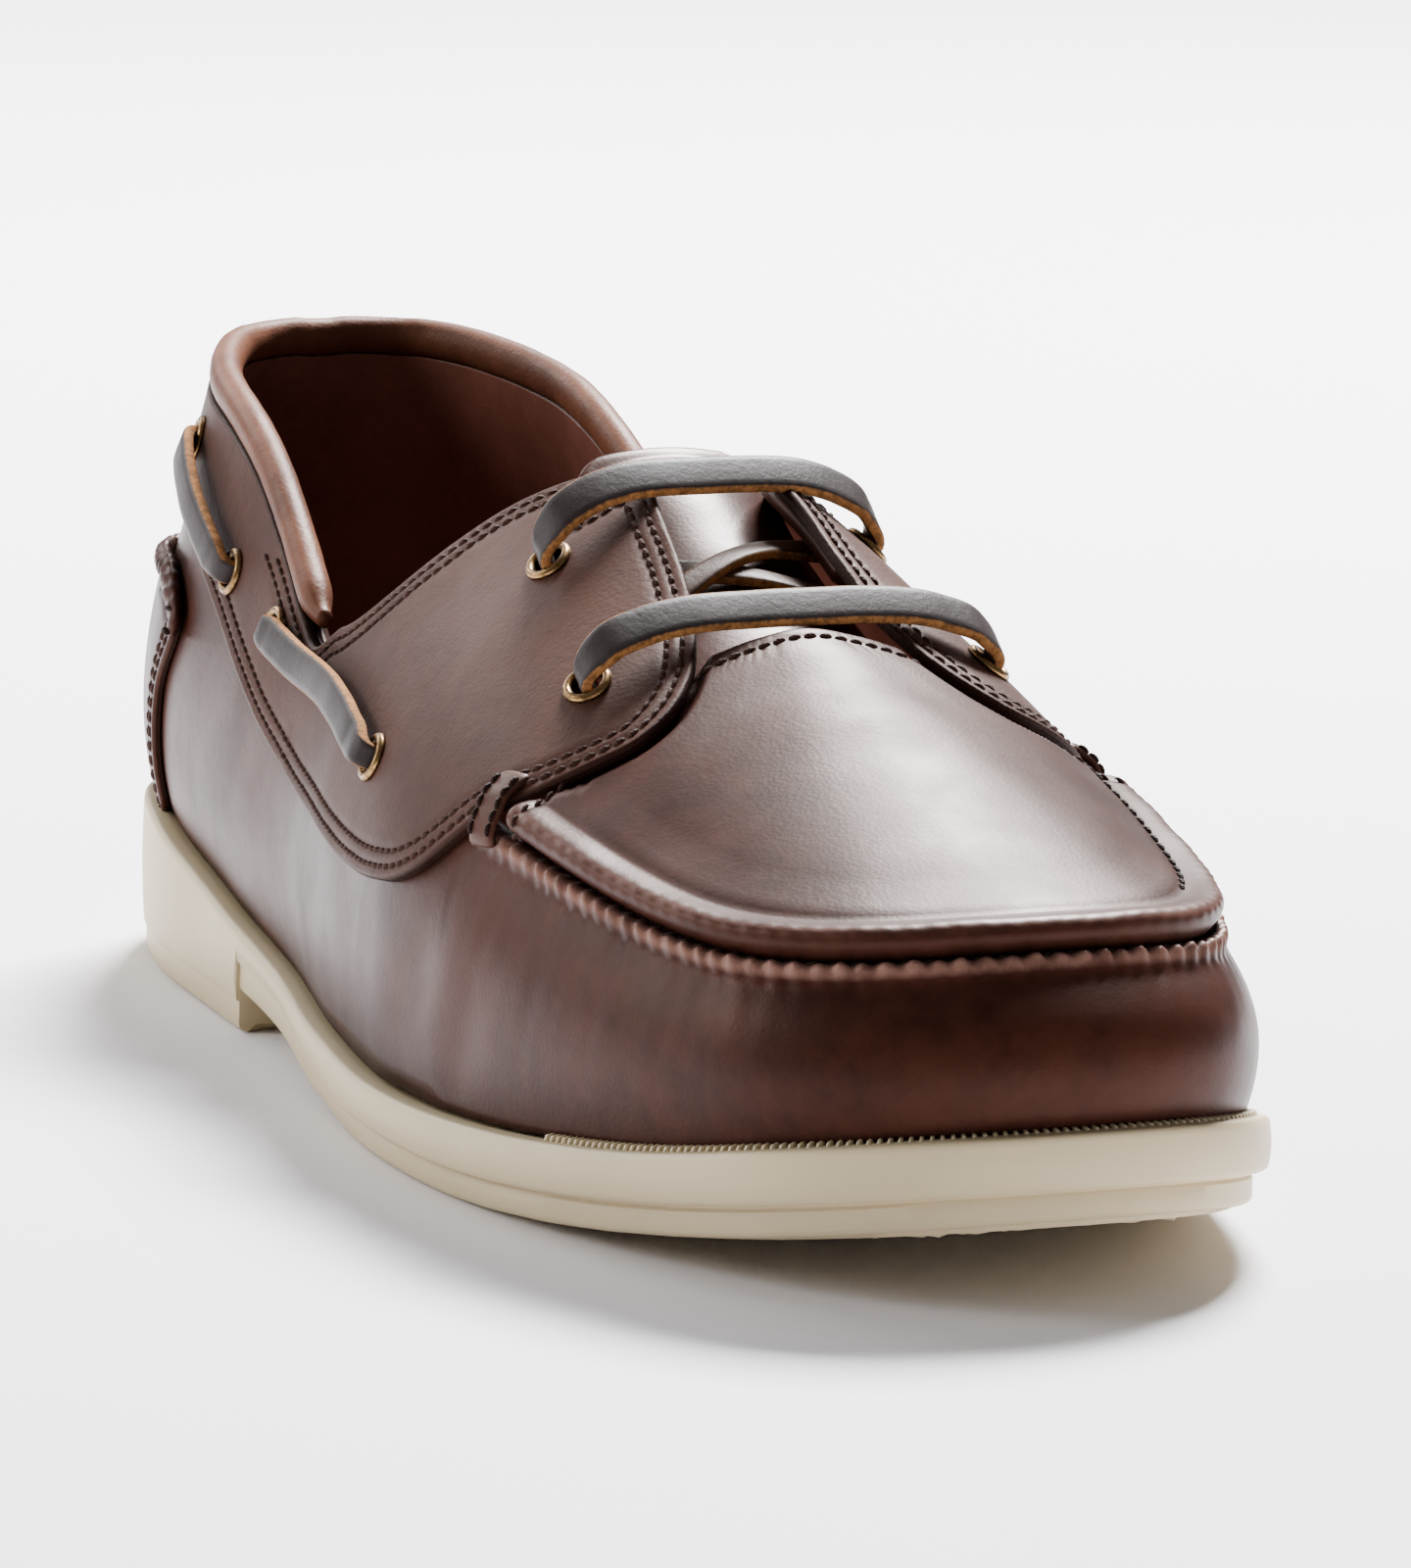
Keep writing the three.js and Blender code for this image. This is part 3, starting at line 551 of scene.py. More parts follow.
def sweep(name, path, across, up, section, materials, attribute=None, sharp=None):
    """Closed body along a path. section(i) gives points as (across, up) pairs."""
    rings = []
    for i, middle in enumerate(path):
        shape = section(i)
        rings.append(middle + shape[:, :1] * across[i] + shape[:, 1:] * up[i])
    rings = np.array(rings)
    count, sides = rings.shape[:2]
    faces = capped(ring_faces(count, sides), count, sides)
    points = rings.reshape(-1, 3)
    attributes = {k: np.tile(v, count) for k, v in (attribute or {}).items()}
    return shown(name, points, outward(points, faces), materials, attributes=attributes, sharp=sharp)


def outward(points, faces):
    """Turns every face round if the body's volume comes out negative."""
    volume = 0.0
    for face in faces:
        a = points[face[0]]
        for b, c in zip(face[1:-1], face[2:]):
            volume += np.dot(a, np.cross(points[b], points[c]))
    return faces if volume > 0 else [face[::-1] for face in faces]


def strap_section(width, thickness, sides=16):
    """Flat section with rounded edges, and how near each point is to the edge."""
    angle = np.arange(sides) * TURN / sides + TURN / sides / 2
    power = 0.38
    x = np.sign(np.cos(angle)) * np.abs(np.cos(angle)) ** power * width / 2
    y = np.sign(np.sin(angle)) * np.abs(np.sin(angle)) ** 0.62 * thickness / 2
    return np.stack([x, y], -1), np.clip(np.abs(x) * 2 / width, 0, 1) ** 3


# Node helpers.
class Nodes:
    """Short way to write a node tree."""

    def __init__(self, tree):
        self.tree = tree

    def add(self, kind, **settings):
        node = self.tree.nodes.new(kind)
        for key, value in settings.items():
            setattr(node, key, value)
        return node

    def link(self, source, target):
        self.tree.links.new(source, target)

    def math(self, operation, a, b):
        node = self.add("ShaderNodeMath", operation=operation)
        for socket, value in zip(node.inputs, (a, b)):
            if isinstance(value, (int, float)):
                socket.default_value = value
            else:
                self.link(value, socket)
        return node.outputs[0]

    def noise(self, vector, scale, detail=3.0, roughness=0.5):
        node = self.add("ShaderNodeTexNoise")
        node.inputs["Scale"].default_value = scale
        node.inputs["Detail"].default_value = detail
        node.inputs["Roughness"].default_value = roughness
        self.link(vector, node.inputs["Vector"])
        return node.outputs["Fac"]

    def span(self, value, low, high, to_low=0.0, to_high=1.0):
        node = self.add("ShaderNodeMapRange", interpolation_type="SMOOTHSTEP")
        for socket, number in zip(node.inputs[1:5], (low, high, to_low, to_high)):
            socket.default_value = number
        self.link(value, node.inputs[0])
        return node.outputs[0]

    def mix(self, share, a, b, blend="MIX"):
        node = self.add("ShaderNodeMix", data_type="RGBA", blend_type=blend)
        for socket, value in zip((node.inputs[0], node.inputs[6], node.inputs[7]), (share, a, b)):
            if isinstance(value, bpy.types.NodeSocket):
                self.link(value, socket)
            elif isinstance(value, (int, float)):
                socket.default_value = value
            else:
                socket.default_value = (*value[:3], 1.0)
        return node.outputs[2]


def new_material(name):
    material = bpy.data.materials.new(name)
    material.use_nodes = True
    nodes = Nodes(material.node_tree)
    shader = material.node_tree.nodes["Principled BSDF"]
    place = nodes.add("ShaderNodeTexCoord").outputs["Object"]
    return material, nodes, shader, place


def bump(nodes, shader, height, strength, distance):
    node = nodes.add("ShaderNodeBump")
    node.inputs["Strength"].default_value = strength
    node.inputs["Distance"].default_value = distance * MM
    nodes.link(height, node.inputs["Height"])
    nodes.link(node.outputs[0], shader.inputs["Normal"])


def leather(name, dark, light, roughness, coat, grain=0.25, cut_edge=None, sheen_and_wear=None):
    """Waxed leather: cloudy colour, pores, fine wrinkles, a polished coat and worn crests."""
    material, nodes, shader, place = new_material(name)
    clouds = nodes.noise(place, 26, 4, 0.6)
    fine = nodes.noise(place, 170, 5, 0.65)
    tone = nodes.math("ADD", nodes.math("MULTIPLY", clouds, 0.65), nodes.math("MULTIPLY", fine, 0.35))
    colour = nodes.mix(nodes.span(tone, 0.36, 0.64), dark, light)
    # Painted highlight and rub wear: where the crest attribute is high, the colour is mixed toward a lighter
    # one.
    if sheen_and_wear:
        crest = nodes.add("ShaderNodeAttribute", attribute_name="crest").outputs["Fac"]
        sheen_and_rub = nodes.math("MULTIPLY", nodes.span(crest, 0.45, 1.0), nodes.span(fine, 0.3, 0.6, 0.35, 1.0))
        colour = nodes.mix(nodes.math("MULTIPLY", sheen_and_rub, 0.75), colour, sheen_and_wear)
    if cut_edge:
        rim = nodes.add("ShaderNodeAttribute", attribute_name="edge").outputs["Fac"]
        colour = nodes.mix(nodes.span(rim, 0.15, 0.75, 0.85, 0.0), colour, cut_edge)
    nodes.link(colour, shader.inputs["Base Color"])
    wear = nodes.noise(place, 60, 4, 0.6)
    nodes.link(nodes.span(wear, 0.3, 0.7, roughness - 0.03, roughness + 0.05), shader.inputs["Roughness"])
    shader.inputs["Coat Weight"].default_value = coat
    shader.inputs["Coat Roughness"].default_value = 0.22
    shader.inputs["Specular IOR Level"].default_value = 0.36
    shader.inputs["IOR"].default_value = 1.3
    shader.inputs["Specular Tint"].default_value = (1.0, 0.62, 0.5, 1.0)
    pores = nodes.add("ShaderNodeTexVoronoi", feature="F1")
    pores.inputs["Scale"].default_value = 1500
    nodes.link(place, pores.inputs["Vector"])
    wrinkles = nodes.noise(place, 420, 6, 0.62)
    height = nodes.math("ADD", nodes.math("MULTIPLY", pores.outputs["Distance"], 0.45), wrinkles)
    bump(nodes, shader, height, grain, 0.22)
    return material


def rubber(name, colour, shade):
    material, nodes, shader, place = new_material(name)
    clouds = nodes.noise(place, 30, 4, 0.6)
    nodes.link(nodes.mix(nodes.span(clouds, 0.35, 0.7), colour, shade), shader.inputs["Base Color"])
    speck = nodes.noise(place, 900, 4, 0.6)
    nodes.link(nodes.span(clouds, 0.2, 0.8, 0.42, 0.56), shader.inputs["Roughness"])
    shader.inputs["Subsurface Weight"].default_value = 0.08
    shader.inputs["Subsurface Radius"].default_value = (0.004, 0.003, 0.002)
    shader.inputs["Subsurface Scale"].default_value = 0.5
    level = nodes.add("ShaderNodeMapping")
    level.inputs["Scale"].default_value = (0.03, 0.03, 1.0)
    nodes.link(place, level.inputs["Vector"])
    tooling = nodes.noise(level.outputs[0], 1100, 2, 0.5)
    bump(nodes, shader, nodes.math("ADD", speck, nodes.math("MULTIPLY", tooling, 1.2)), 0.16, 0.14)
    return material


def lace_leather(name, face, suede):
    """Rawhide lace: waxed face, rough tan edges."""
    material, nodes, shader, place = new_material(name)
    rim = nodes.add("ShaderNodeAttribute", attribute_name="rim").outputs["Fac"]
    fuzz = nodes.noise(place, 900, 5, 0.7)
    share = nodes.span(nodes.math("ADD", rim, nodes.math("MULTIPLY", fuzz, 0.3)), 0.78, 1.02)
    tone = nodes.mix(nodes.span(nodes.noise(place, 130, 4, 0.6), 0.3, 0.7), face, [c * 1.35 for c in face])
    tan = nodes.mix(nodes.span(fuzz, 0.35, 0.65), [c * 0.45 for c in suede], suede)
    nodes.link(nodes.mix(share, tone, tan), shader.inputs["Base Color"])
    nodes.link(nodes.span(rim, 0.6, 1.0, 0.42, 0.85), shader.inputs["Roughness"])
    shader.inputs["IOR"].default_value = 1.3
    shader.inputs["Specular IOR Level"].default_value = 0.26
    bump(nodes, shader, fuzz, 0.35, 0.25)
    return material


def brass(name, colour):
    material, nodes, shader, place = new_material(name)
    tarnish = nodes.noise(place, 700, 4, 0.6)
    nodes.link(nodes.mix(nodes.span(tarnish, 0.35, 0.68), colour, [c * 0.3 for c in colour]),
               shader.inputs["Base Color"])
    shader.inputs["Metallic"].default_value = 1.0
    nodes.link(nodes.span(tarnish, 0.3, 0.7, 0.24, 0.48), shader.inputs["Roughness"])
    bump(nodes, shader, tarnish, 0.2, 0.1)
    return material


def thread(name, colour):
    material, nodes, shader, place = new_material(name)
    twist = nodes.add("ShaderNodeTexWave", wave_type="BANDS", bands_direction="DIAGONAL")
    twist.inputs["Scale"].default_value = 900
    nodes.link(place, twist.inputs["Vector"])
    nodes.link(nodes.mix(twist.outputs["Fac"], [c * 0.6 for c in colour], colour),
               shader.inputs["Base Color"])
    shader.inputs["Roughness"].default_value = 0.7
    shader.inputs["Specular IOR Level"].default_value = 0.12
    bump(nodes, shader, twist.outputs["Fac"], 0.4, 0.12)
    return material


# Geometry Nodes.
def start_tree(name, output, spacing, sockets):
    """Tree with named inputs, whose lines are resampled to the input called spacing."""
    tree = bpy.data.node_groups.new(name, "GeometryNodeTree")
    for label, kind in {"Lines": "Geometry", **sockets, "Material": "Material"}.items():
        tree.interface.new_socket(name=label, in_out="INPUT", socket_type=f"NodeSocket{kind}")
    tree.interface.new_socket(name=output, in_out="OUTPUT", socket_type="NodeSocketGeometry")
    nodes = Nodes(tree)
    given = nodes.add("NodeGroupInput").outputs
    curve = nodes.add("GeometryNodeMeshToCurve")
    nodes.link(given["Lines"], curve.inputs["Mesh"])
    resample = nodes.add("GeometryNodeResampleCurve", mode="LENGTH")
    nodes.link(curve.outputs[0], resample.inputs["Curve"])
    nodes.link(given[spacing], resample.inputs["Length"])
    return tree, nodes, given, resample


def finish_tree(tree, nodes, given, source):
    """Makes the instances real, paints them and hands them out."""
    real = nodes.add("GeometryNodeRealizeInstances")
    nodes.link(source.outputs[0], real.inputs[0])
    painted = nodes.add("GeometryNodeSetMaterial")
    nodes.link(real.outputs[0], painted.inputs["Geometry"])
    nodes.link(given["Material"], painted.inputs["Material"])
    nodes.link(painted.outputs[0], nodes.add("NodeGroupOutput").inputs[0])
    return tree


def row_tree():
    """Parts repeated along lines, standing on the attribute up."""
    tree, nodes, given, resample = start_tree("parts_in_a_row", "Parts", "Pitch", {
        "Part": "Object", "Pitch": "Float", "Size": "Float", "Lift": "Float", "Turn": "Float",
        "Unevenness": "Float"})
    up = nodes.add("GeometryNodeInputNamedAttribute", data_type="FLOAT_VECTOR")
    up.inputs["Name"].default_value = "up"
    tangent = nodes.add("GeometryNodeInputTangent")
    stand = nodes.add("FunctionNodeAlignRotationToVector", axis="Z")
    nodes.link(up.outputs["Attribute"], stand.inputs["Vector"])
    face = nodes.add("FunctionNodeAlignRotationToVector", axis="X", pivot_axis="Z")
    nodes.link(stand.outputs[0], face.inputs["Rotation"])
    nodes.link(tangent.outputs[0], face.inputs["Vector"])
    wobble = nodes.add("FunctionNodeRandomValue", data_type="FLOAT")
    wobble.inputs["Seed"].default_value = 11
    low = nodes.math("MULTIPLY", given["Unevenness"], -1.0)
    nodes.link(low, wobble.inputs[2])
    nodes.link(given["Unevenness"], wobble.inputs[3])
    turn = nodes.add("ShaderNodeCombineXYZ")
    nodes.link(nodes.math("ADD", given["Turn"], wobble.outputs[1]), turn.inputs["Z"])
    local = nodes.add("FunctionNodeRotateRotation", rotation_space="LOCAL")
    nodes.link(face.outputs[0], local.inputs[0])
    nodes.link(turn.outputs[0], local.inputs[1])
    part = nodes.add("GeometryNodeObjectInfo", transform_space="ORIGINAL")
    nodes.link(given["Part"], part.inputs["Object"])
    place = nodes.add("GeometryNodeInstanceOnPoints")
    nodes.link(part.outputs["Geometry"], place.inputs["Instance"])
    nodes.link(local.outputs[0], place.inputs["Rotation"])
    nodes.link(given["Size"], place.inputs["Scale"])
    lift = nodes.add("ShaderNodeVectorMath", operation="SCALE")
    nodes.link(up.outputs["Attribute"], lift.inputs[0])
    nodes.link(given["Lift"], lift.inputs["Scale"])
    raised = nodes.add("GeometryNodeSetPosition")
    nodes.link(resample.outputs[0], raised.inputs["Geometry"])
    nodes.link(lift.outputs[0], raised.inputs["Offset"])
    nodes.link(raised.outputs[0], place.inputs["Points"])
    return finish_tree(tree, nodes, given, place)


def zigzag_tree():
    """Zigzag ribs along straight lines across the tread."""
    tree, nodes, given, resample = start_tree("zigzag_ribs", "Ribs", "Half Wave", {
        "Half Wave": "Float", "Swing": "Float", "Width": "Float", "Height": "Float"})
    place = nodes.add("GeometryNodeInputPosition")
    apart = nodes.add("ShaderNodeSeparateXYZ")
    nodes.link(place.outputs[0], apart.inputs[0])
    share = nodes.math("DIVIDE", apart.outputs["X"], given["Half Wave"])
    wave = nodes.math("PINGPONG", share, 1.0)
    swing = nodes.math("MULTIPLY", nodes.math("SUBTRACT", wave, 0.5), given["Swing"])
    shift = nodes.add("ShaderNodeCombineXYZ")
    nodes.link(swing, shift.inputs["Y"])
    moved = nodes.add("GeometryNodeSetPosition")
    nodes.link(resample.outputs[0], moved.inputs["Geometry"])
    nodes.link(shift.outputs[0], moved.inputs["Offset"])
    upright = nodes.add("GeometryNodeSetCurveNormal", mode="Z_UP")
    nodes.link(moved.outputs[0], upright.inputs["Curve"])
    profile = nodes.add("GeometryNodeCurvePrimitiveQuadrilateral")
    nodes.link(given["Width"], profile.inputs["Width"])
    nodes.link(given["Height"], profile.inputs["Height"])
    bars = nodes.add("GeometryNodeCurveToMesh")
    nodes.link(upright.outputs[0], bars.inputs["Curve"])
    nodes.link(profile.outputs[0], bars.inputs["Profile Curve"])
    bars.inputs["Fill Caps"].default_value = True
    return finish_tree(tree, nodes, given, bars)


def line_mesh(name, lines):
    """Edge mesh of several lines, with the direction up stored on its points."""
    points, ups, edges = [], [], []
    for line, normals in lines:
        start = len(points)
        points += list(np.asarray(line) * MM)
        ups += list(normals)
        edges += [(start + i, start + i + 1) for i in range(len(line) - 1)]
    mesh = bpy.data.meshes.new(name)
    mesh.from_pydata(points, edges, [])
    up = mesh.attributes.new("up", "FLOAT_VECTOR", "POINT")
    up.data.foreach_set("vector", np.asarray(ups, np.float32).ravel())
    thing = bpy.data.objects.new(name, mesh)
    bpy.context.scene.collection.objects.link(thing)
    return thing


def run_tree(thing, tree, material, **inputs):
    """Runs a tree on an object and leaves the result as its plain mesh."""
    modifier = thing.modifiers.new("parts", "NODES")
    modifier.node_group = tree
    given = {key.replace("_", " "): value for key, value in inputs.items()}
    given["Material"] = material
    for item in tree.interface.items_tree:
        if item.item_type == "SOCKET" and item.in_out == "INPUT" and item.name in given:
            modifier[item.identifier] = given[item.name]
    depsgraph = bpy.context.evaluated_depsgraph_get()
    depsgraph.update()
    mesh = bpy.data.meshes.new_from_object(thing.evaluated_get(depsgraph), depsgraph=depsgraph)
    thing.modifiers.clear()
    old = thing.data
    thing.data = mesh
    bpy.data.meshes.remove(old)
    mesh.shade_smooth()
    if not mesh.materials:
        mesh.materials.append(material)
    return thing


def part(name, points, faces):
    """Small mesh that a tree repeats; it isn't shown itself."""
    mesh = bpy.data.meshes.new(name)
    mesh.from_pydata([tuple(np.asarray(p) * MM) for p in points], [], faces)
    mesh.shade_smooth()
    return bpy.data.objects.new(name, mesh)


def stitch_part(length, radius, sides=6):
    """One stitch: a thread that dips into the leather at both ends, along X."""
    points = []
    profile = [(-0.5, -0.9, 0.35), (-0.42, -0.1, 0.8), (-0.16, 0.35, 1.0), (0.16, 0.35, 1.0),
               (0.42, -0.1, 0.8), (0.5, -0.9, 0.35)]
    for at, height, share in profile:
        for j in range(sides):
            angle = TURN * j / sides
            points.append((at * length, math.cos(angle) * radius * share,
                           height * radius + math.sin(angle) * radius * share))
    faces = capped(ring_faces(len(profile), sides), len(profile), sides)
    points = np.array(points)
    return part("stitch", points, outward(points, faces))


def lathe_part(name, profile, sides):
    """Ring turned about Z from a closed profile of radius and height."""
    points = [(r * math.cos(TURN * j / sides), r * math.sin(TURN * j / sides), z)
              for r, z in profile for j in range(sides)]
    faces = ring_faces(len(profile), sides, closed=True)
    points = np.array(points)
    return part(name, points, outward(points, faces))


seams = {}
finishes = {}


# Pieces.
def upper_piece(settings):
    fine, coarse = 0.0050, 0.0145
    start = float(angle_of(203.0))
    phi = np.concatenate([np.arange(0, start, coarse), np.arange(start, TURN - start, fine),
                          np.arange(TURN - start, TURN - coarse / 2, coarse)])
    station = station_of(phi)

    def under_edges(points):
        s, z = side_view(points)
        top = along(TOPLINE, "z", np.clip(s, 0, 175)) - np.maximum(roll_drop(s), 0.8)
        across = np.abs(points[..., 0] - THROAT_CENTRE)
        throat = hermite(SADDLE_FRONT["s"][:6], SADDLE_FRONT["across"][:6], np.clip(s, 150, 206)) + 1.6
        return np.where(s < 170, z < top, True) & np.where(s > 150, across > throat, True)

    seam = seam_reach(phi)
    top = reach(phi, under_edges)
    kernel = np.ones(5) / 5
    wrapped = np.concatenate([top[-2:], top, top[:2]])
    rear_top = np.where(station < 200, np.convolve(wrapped, kernel, "valid"), top)
    top = rear_top + (seam - rear_top) * smoothstep(station, 201, 206.5)
    front = smoothstep(station, 206, 209.5)
    speed = climb(phi, top)
    near = VAMP_RIDGE["away"][None, :] / speed[:, None]
    lower = (top - near[:, 0])[:, None] * np.linspace(0, 1, 27)[None, :-1]
    w = np.concatenate([lower, top[:, None] - near], axis=1)
    away = (top[:, None] - w) * speed[:, None]
    u = lengths(last(phi, seam))[:, None]
    ridge = hermite(VAMP_RIDGE["away"][::-1], VAMP_RIDGE["height"][::-1], np.clip(away, 0, 12))
    ridge = np.where(away < 7, ridge, 0)
    pucker = 0.5 + 0.5 * np.cos(TURN * u / settings.pucker_pitch + 1.1 * ripple(u, (31, 19, 12), 3))
    ridge = ridge * (0.72 + 0.5 * pucker) + 0.25 * bell(away, 1.8, 1.1) * ripple(u, (5.1, 8.3), 8)
    # Pleats fan out below the seam and are deepest at the front of each side.
    pleats = ripple(u + 0.25 * away, (4.6, 6.9, 10.3), 5)
    deep = 0.3 + 0.7 * bell(station, 238, 24)[:, None]
    pleat = 0.42 * deep * pleats * smoothstep(away, 2.5, 5) * np.exp(-away / 9.0)
    lift = front[:, None] * (ridge + pleat)
    s, z = side_view(last(phi[:, None], w))
    lift = lift + upper_creases(s, z, phi[:, None])
    points = off_last(phi[:, None], w, lift)
    inner = off_last(phi[:, None], w, np.full(w.shape, -WALL))
    count = w.size
    faces, kinds = thicken(grid_faces(len(phi), w.shape[1], close=True), count)
    body = np.vstack([points.reshape(-1, 3), inner.reshape(-1, 3)])
    # Band along the crest of the seam ridge, painted lighter in the material: painted highlight and rub wear.
    sheen_and_wear_band = np.concatenate([(front[:, None] * bell(away, 2.2, 2.0)).ravel(), np.zeros(count)])
    piece = shown("vamp_and_quarters", body, faces, [finishes["vamp"], finishes["lining"]],
                  [1 if kind == 1 else 0 for kind in kinds], {"crest": sheen_and_wear_band})
    finish_piece(piece, "upper_leather", "upper")


def upper_creases(s, z, phi):
    """Soft walking creases: troughs and ridges placed by hand."""
    side = np.where(np.sin(phi) > 0, 1.0, 0.0)
    total = 0.0
    folds = ((196, 26, 9, -0.5), (206, 28, 6, 0.35), (187, 22, 7, 0.3), (214, 24, 5, -0.3))
    for station, height, width, depth in folds:
        lean = station + 0.35 * (z - height)
        total = total + depth * bell(s, lean, width) * bell(z, height, 12)
    return total * (0.55 + 0.45 * side)


PLUG_ROUNDING = 0.7
PLUG_ROW = 2.4


def plug_piece(settings):
    start = float(angle_of(204.0))
    phi = np.arange(start, TURN - start + 1e-9, 0.0052)
    seam = seam_reach(phi)
    speed = climb(phi, seam)
    inner_start = seam + PLUG_EDGE["away"][-1] / speed
    rest = np.linspace(0, 1, 40)[1:]
    w = np.concatenate([seam[:, None] + PLUG_EDGE["away"][None, :] / speed[:, None],
                        inner_start[:, None] + (0.985 - inner_start)[:, None] * rest[None, :]], axis=1)
    away = (w - seam[:, None]) * speed[:, None]
    height = np.full(w.shape, 1.0)
    height[:, :len(PLUG_EDGE["away"])] = PLUG_EDGE["height"][None, :]
    u = lengths(last(phi, seam))[:, None]
    uneven = 0.2 * ripple(u, (23, 13, 37), 21)
    height = height + uneven * bell(away, 2.2, 2.2)
    pucker = np.cos(TURN * u / settings.pucker_pitch)
    height = height + 0.06 * pucker * bell(away, 1.6, 1.2) - 0.2 * bell(away, 6.4, 0.8)
    points = last(phi[:, None], w)
    covered = np.min([field for field in saddle_fields(points)[:2]], axis=0)
    tuck = smoothstep(covered, -2.2, 0.2)
    s = LENGTH / 2 - points[..., 1]
    height = height + plug_creases(points)
    height = height * (1 - tuck) - 1.3 * tuck
    rear = over_surface(points, s - PLUG_REAR - 0.004 * (points[..., 0] + 2) ** 2)
    data = {"phi": np.repeat(phi, w.shape[1]), "w": w.ravel(), "height": height.ravel(),
            "away": away.ravel(), "edge": rear.ravel(), "tuck": tuck.ravel()}
    faces = grid_faces(len(phi), w.shape[1])
    rows = {}
    for level in (0, 0.25, PLUG_ROUNDING, PLUG_ROW):
        faces, segments = split(data, faces, "edge", level)
        rows[level] = chains(segments)
    faces = [face for face in faces if all(data["edge"][v] > -1e-6 for v in face)]
    used, faces = used_only(faces, len(data["w"]))
    rim = np.clip(data["edge"], 0, PLUG_ROUNDING)
    fall = PLUG_ROUNDING - np.sqrt(PLUG_ROUNDING**2 - (PLUG_ROUNDING - rim) ** 2)
    lift = data["height"] - fall * (data["tuck"] < 0.5)
    lift = lift - 0.25 * bell(data["edge"], PLUG_ROW, 0.6)
    base = last(data["phi"][used], data["w"][used])
    normal = last_normal(data["phi"][used], data["w"][used])
    low = np.minimum(lift[used] - 1.4, -0.6)
    body = np.vstack([base + normal * lift[used][:, None], base + normal * low[:, None]])
    faces, kinds = thicken(faces, len(used))
    # Crest of the plug's roll, painted lighter in the material: painted highlight and rub wear.
    crest = np.concatenate([bell(data["away"][used], 2.0, 1.6)] * 2)
    piece = shown("plug", body, faces, [finishes["plug"], finishes["lining"]],
                  [1 if kind == 1 else 0 for kind in kinds], {"crest": crest})
    finish_piece(piece, "upper_leather", "plug_roll")
    seams["plug_rear"] = []
    for chain in rows[PLUG_ROW]:
        chain = [v for v in chain if data["tuck"][v] < 0.3]
        if len(chain) > 6:
            seams["plug_rear"].append((off_last(data["phi"][chain], data["w"][chain], lift[chain]),
                                       last_normal(data["phi"][chain], data["w"][chain])))
    shown_phi = phi[(tuck[:, 16] < 0.25)]
    medial = shown_phi[(shown_phi > math.pi) & (station_of(shown_phi) < 281)]
    inner = seam_reach(medial) + 6.5 / climb(medial, seam_reach(medial))
    seams["plug_inner"] = [(off_last(medial, inner, np.full(inner.shape, 1.6)),
                            last_normal(medial, inner))]
    middle = seam_reach(shown_phi)
    outwards = off_last(shown_phi, middle - 0.012, np.full(middle.shape, 0.75))
    lean = last_normal(shown_phi, middle)
    down = last(shown_phi, middle - 0.01) - last(shown_phi, middle)
    down /= np.linalg.norm(down, axis=1, keepdims=True)
    seams["moccasin"] = [(outwards, (lean + down) / np.linalg.norm(lean + down, axis=1, keepdims=True))]


def plug_creases(points):
    """Long soft waves across the plug behind the toe, and the dip along its middle."""
    s = LENGTH / 2 - points[..., 1]
    x = points[..., 0]
    wave = -0.35 * bell(s, 221 + 0.08 * (x - 2), 4.5) + 0.25 * bell(s, 230, 5) - 0.18 * bell(s, 240, 6)
    return wave * bell(x, 2, 26)


def eyelet_places():
    return {(side, name): locate(SIDES[side], *EYELETS[name]) for side in SIDES for name in EYELETS}


def saddle_piece(settings):
    span = float(angle_of(252.0))
    phi = np.arange(-span, span + 1e-9, 0.0076)
    w = np.linspace(0.17, 0.985, 92)
    holes = list(seams["eyelets"].values())
    panel = Panel(phi, w, saddle_fields, [(p if p < math.pi else p - TURN, v) for p, v in holes])
    rows = (settings.first_row, settings.first_row + settings.row_gap)
    panel.trim((0, 0.2, 0.6, *rows))

    def relief(d):
        groove = sum(bell(d["edge"], row, 0.55) for row in rows)
        s, z = side_view(last(d["phi"], d["w"]))
        stitched = smoothstep(s, 112, 120) + smoothstep(72 - z, 0, 6) * (s < 112)
        between = 0.12 * bell(d["edge"], sum(rows) / 2, 0.8)
        folds = 0.25 * bell(s, 128 + 0.5 * (z - 55), 6) - 0.2 * bell(s, 140 + 0.4 * (z - 52), 7)
        return (between - 0.28 * groove) * np.clip(stitched, 0, 1) + folds * bell(z, 55, 12)

    piece = panel.body("saddle", GAP, GAP + OVERLAY, 0.6,
                       [finishes["saddle"], finishes["cut_edge"]], relief)
    finish_piece(piece, "saddle_leather", "saddle_lateral", "saddle_medial")

    def sewn(s, z):
        return s > 116 or z < 70.5 + 0.12 * max(0.0, 40 - s)

    seams["saddle"] = panel.row(rows[0], sewn) + panel.row(rows[1], sewn)


COUNTER_ROWS = (2.0, 4.2)


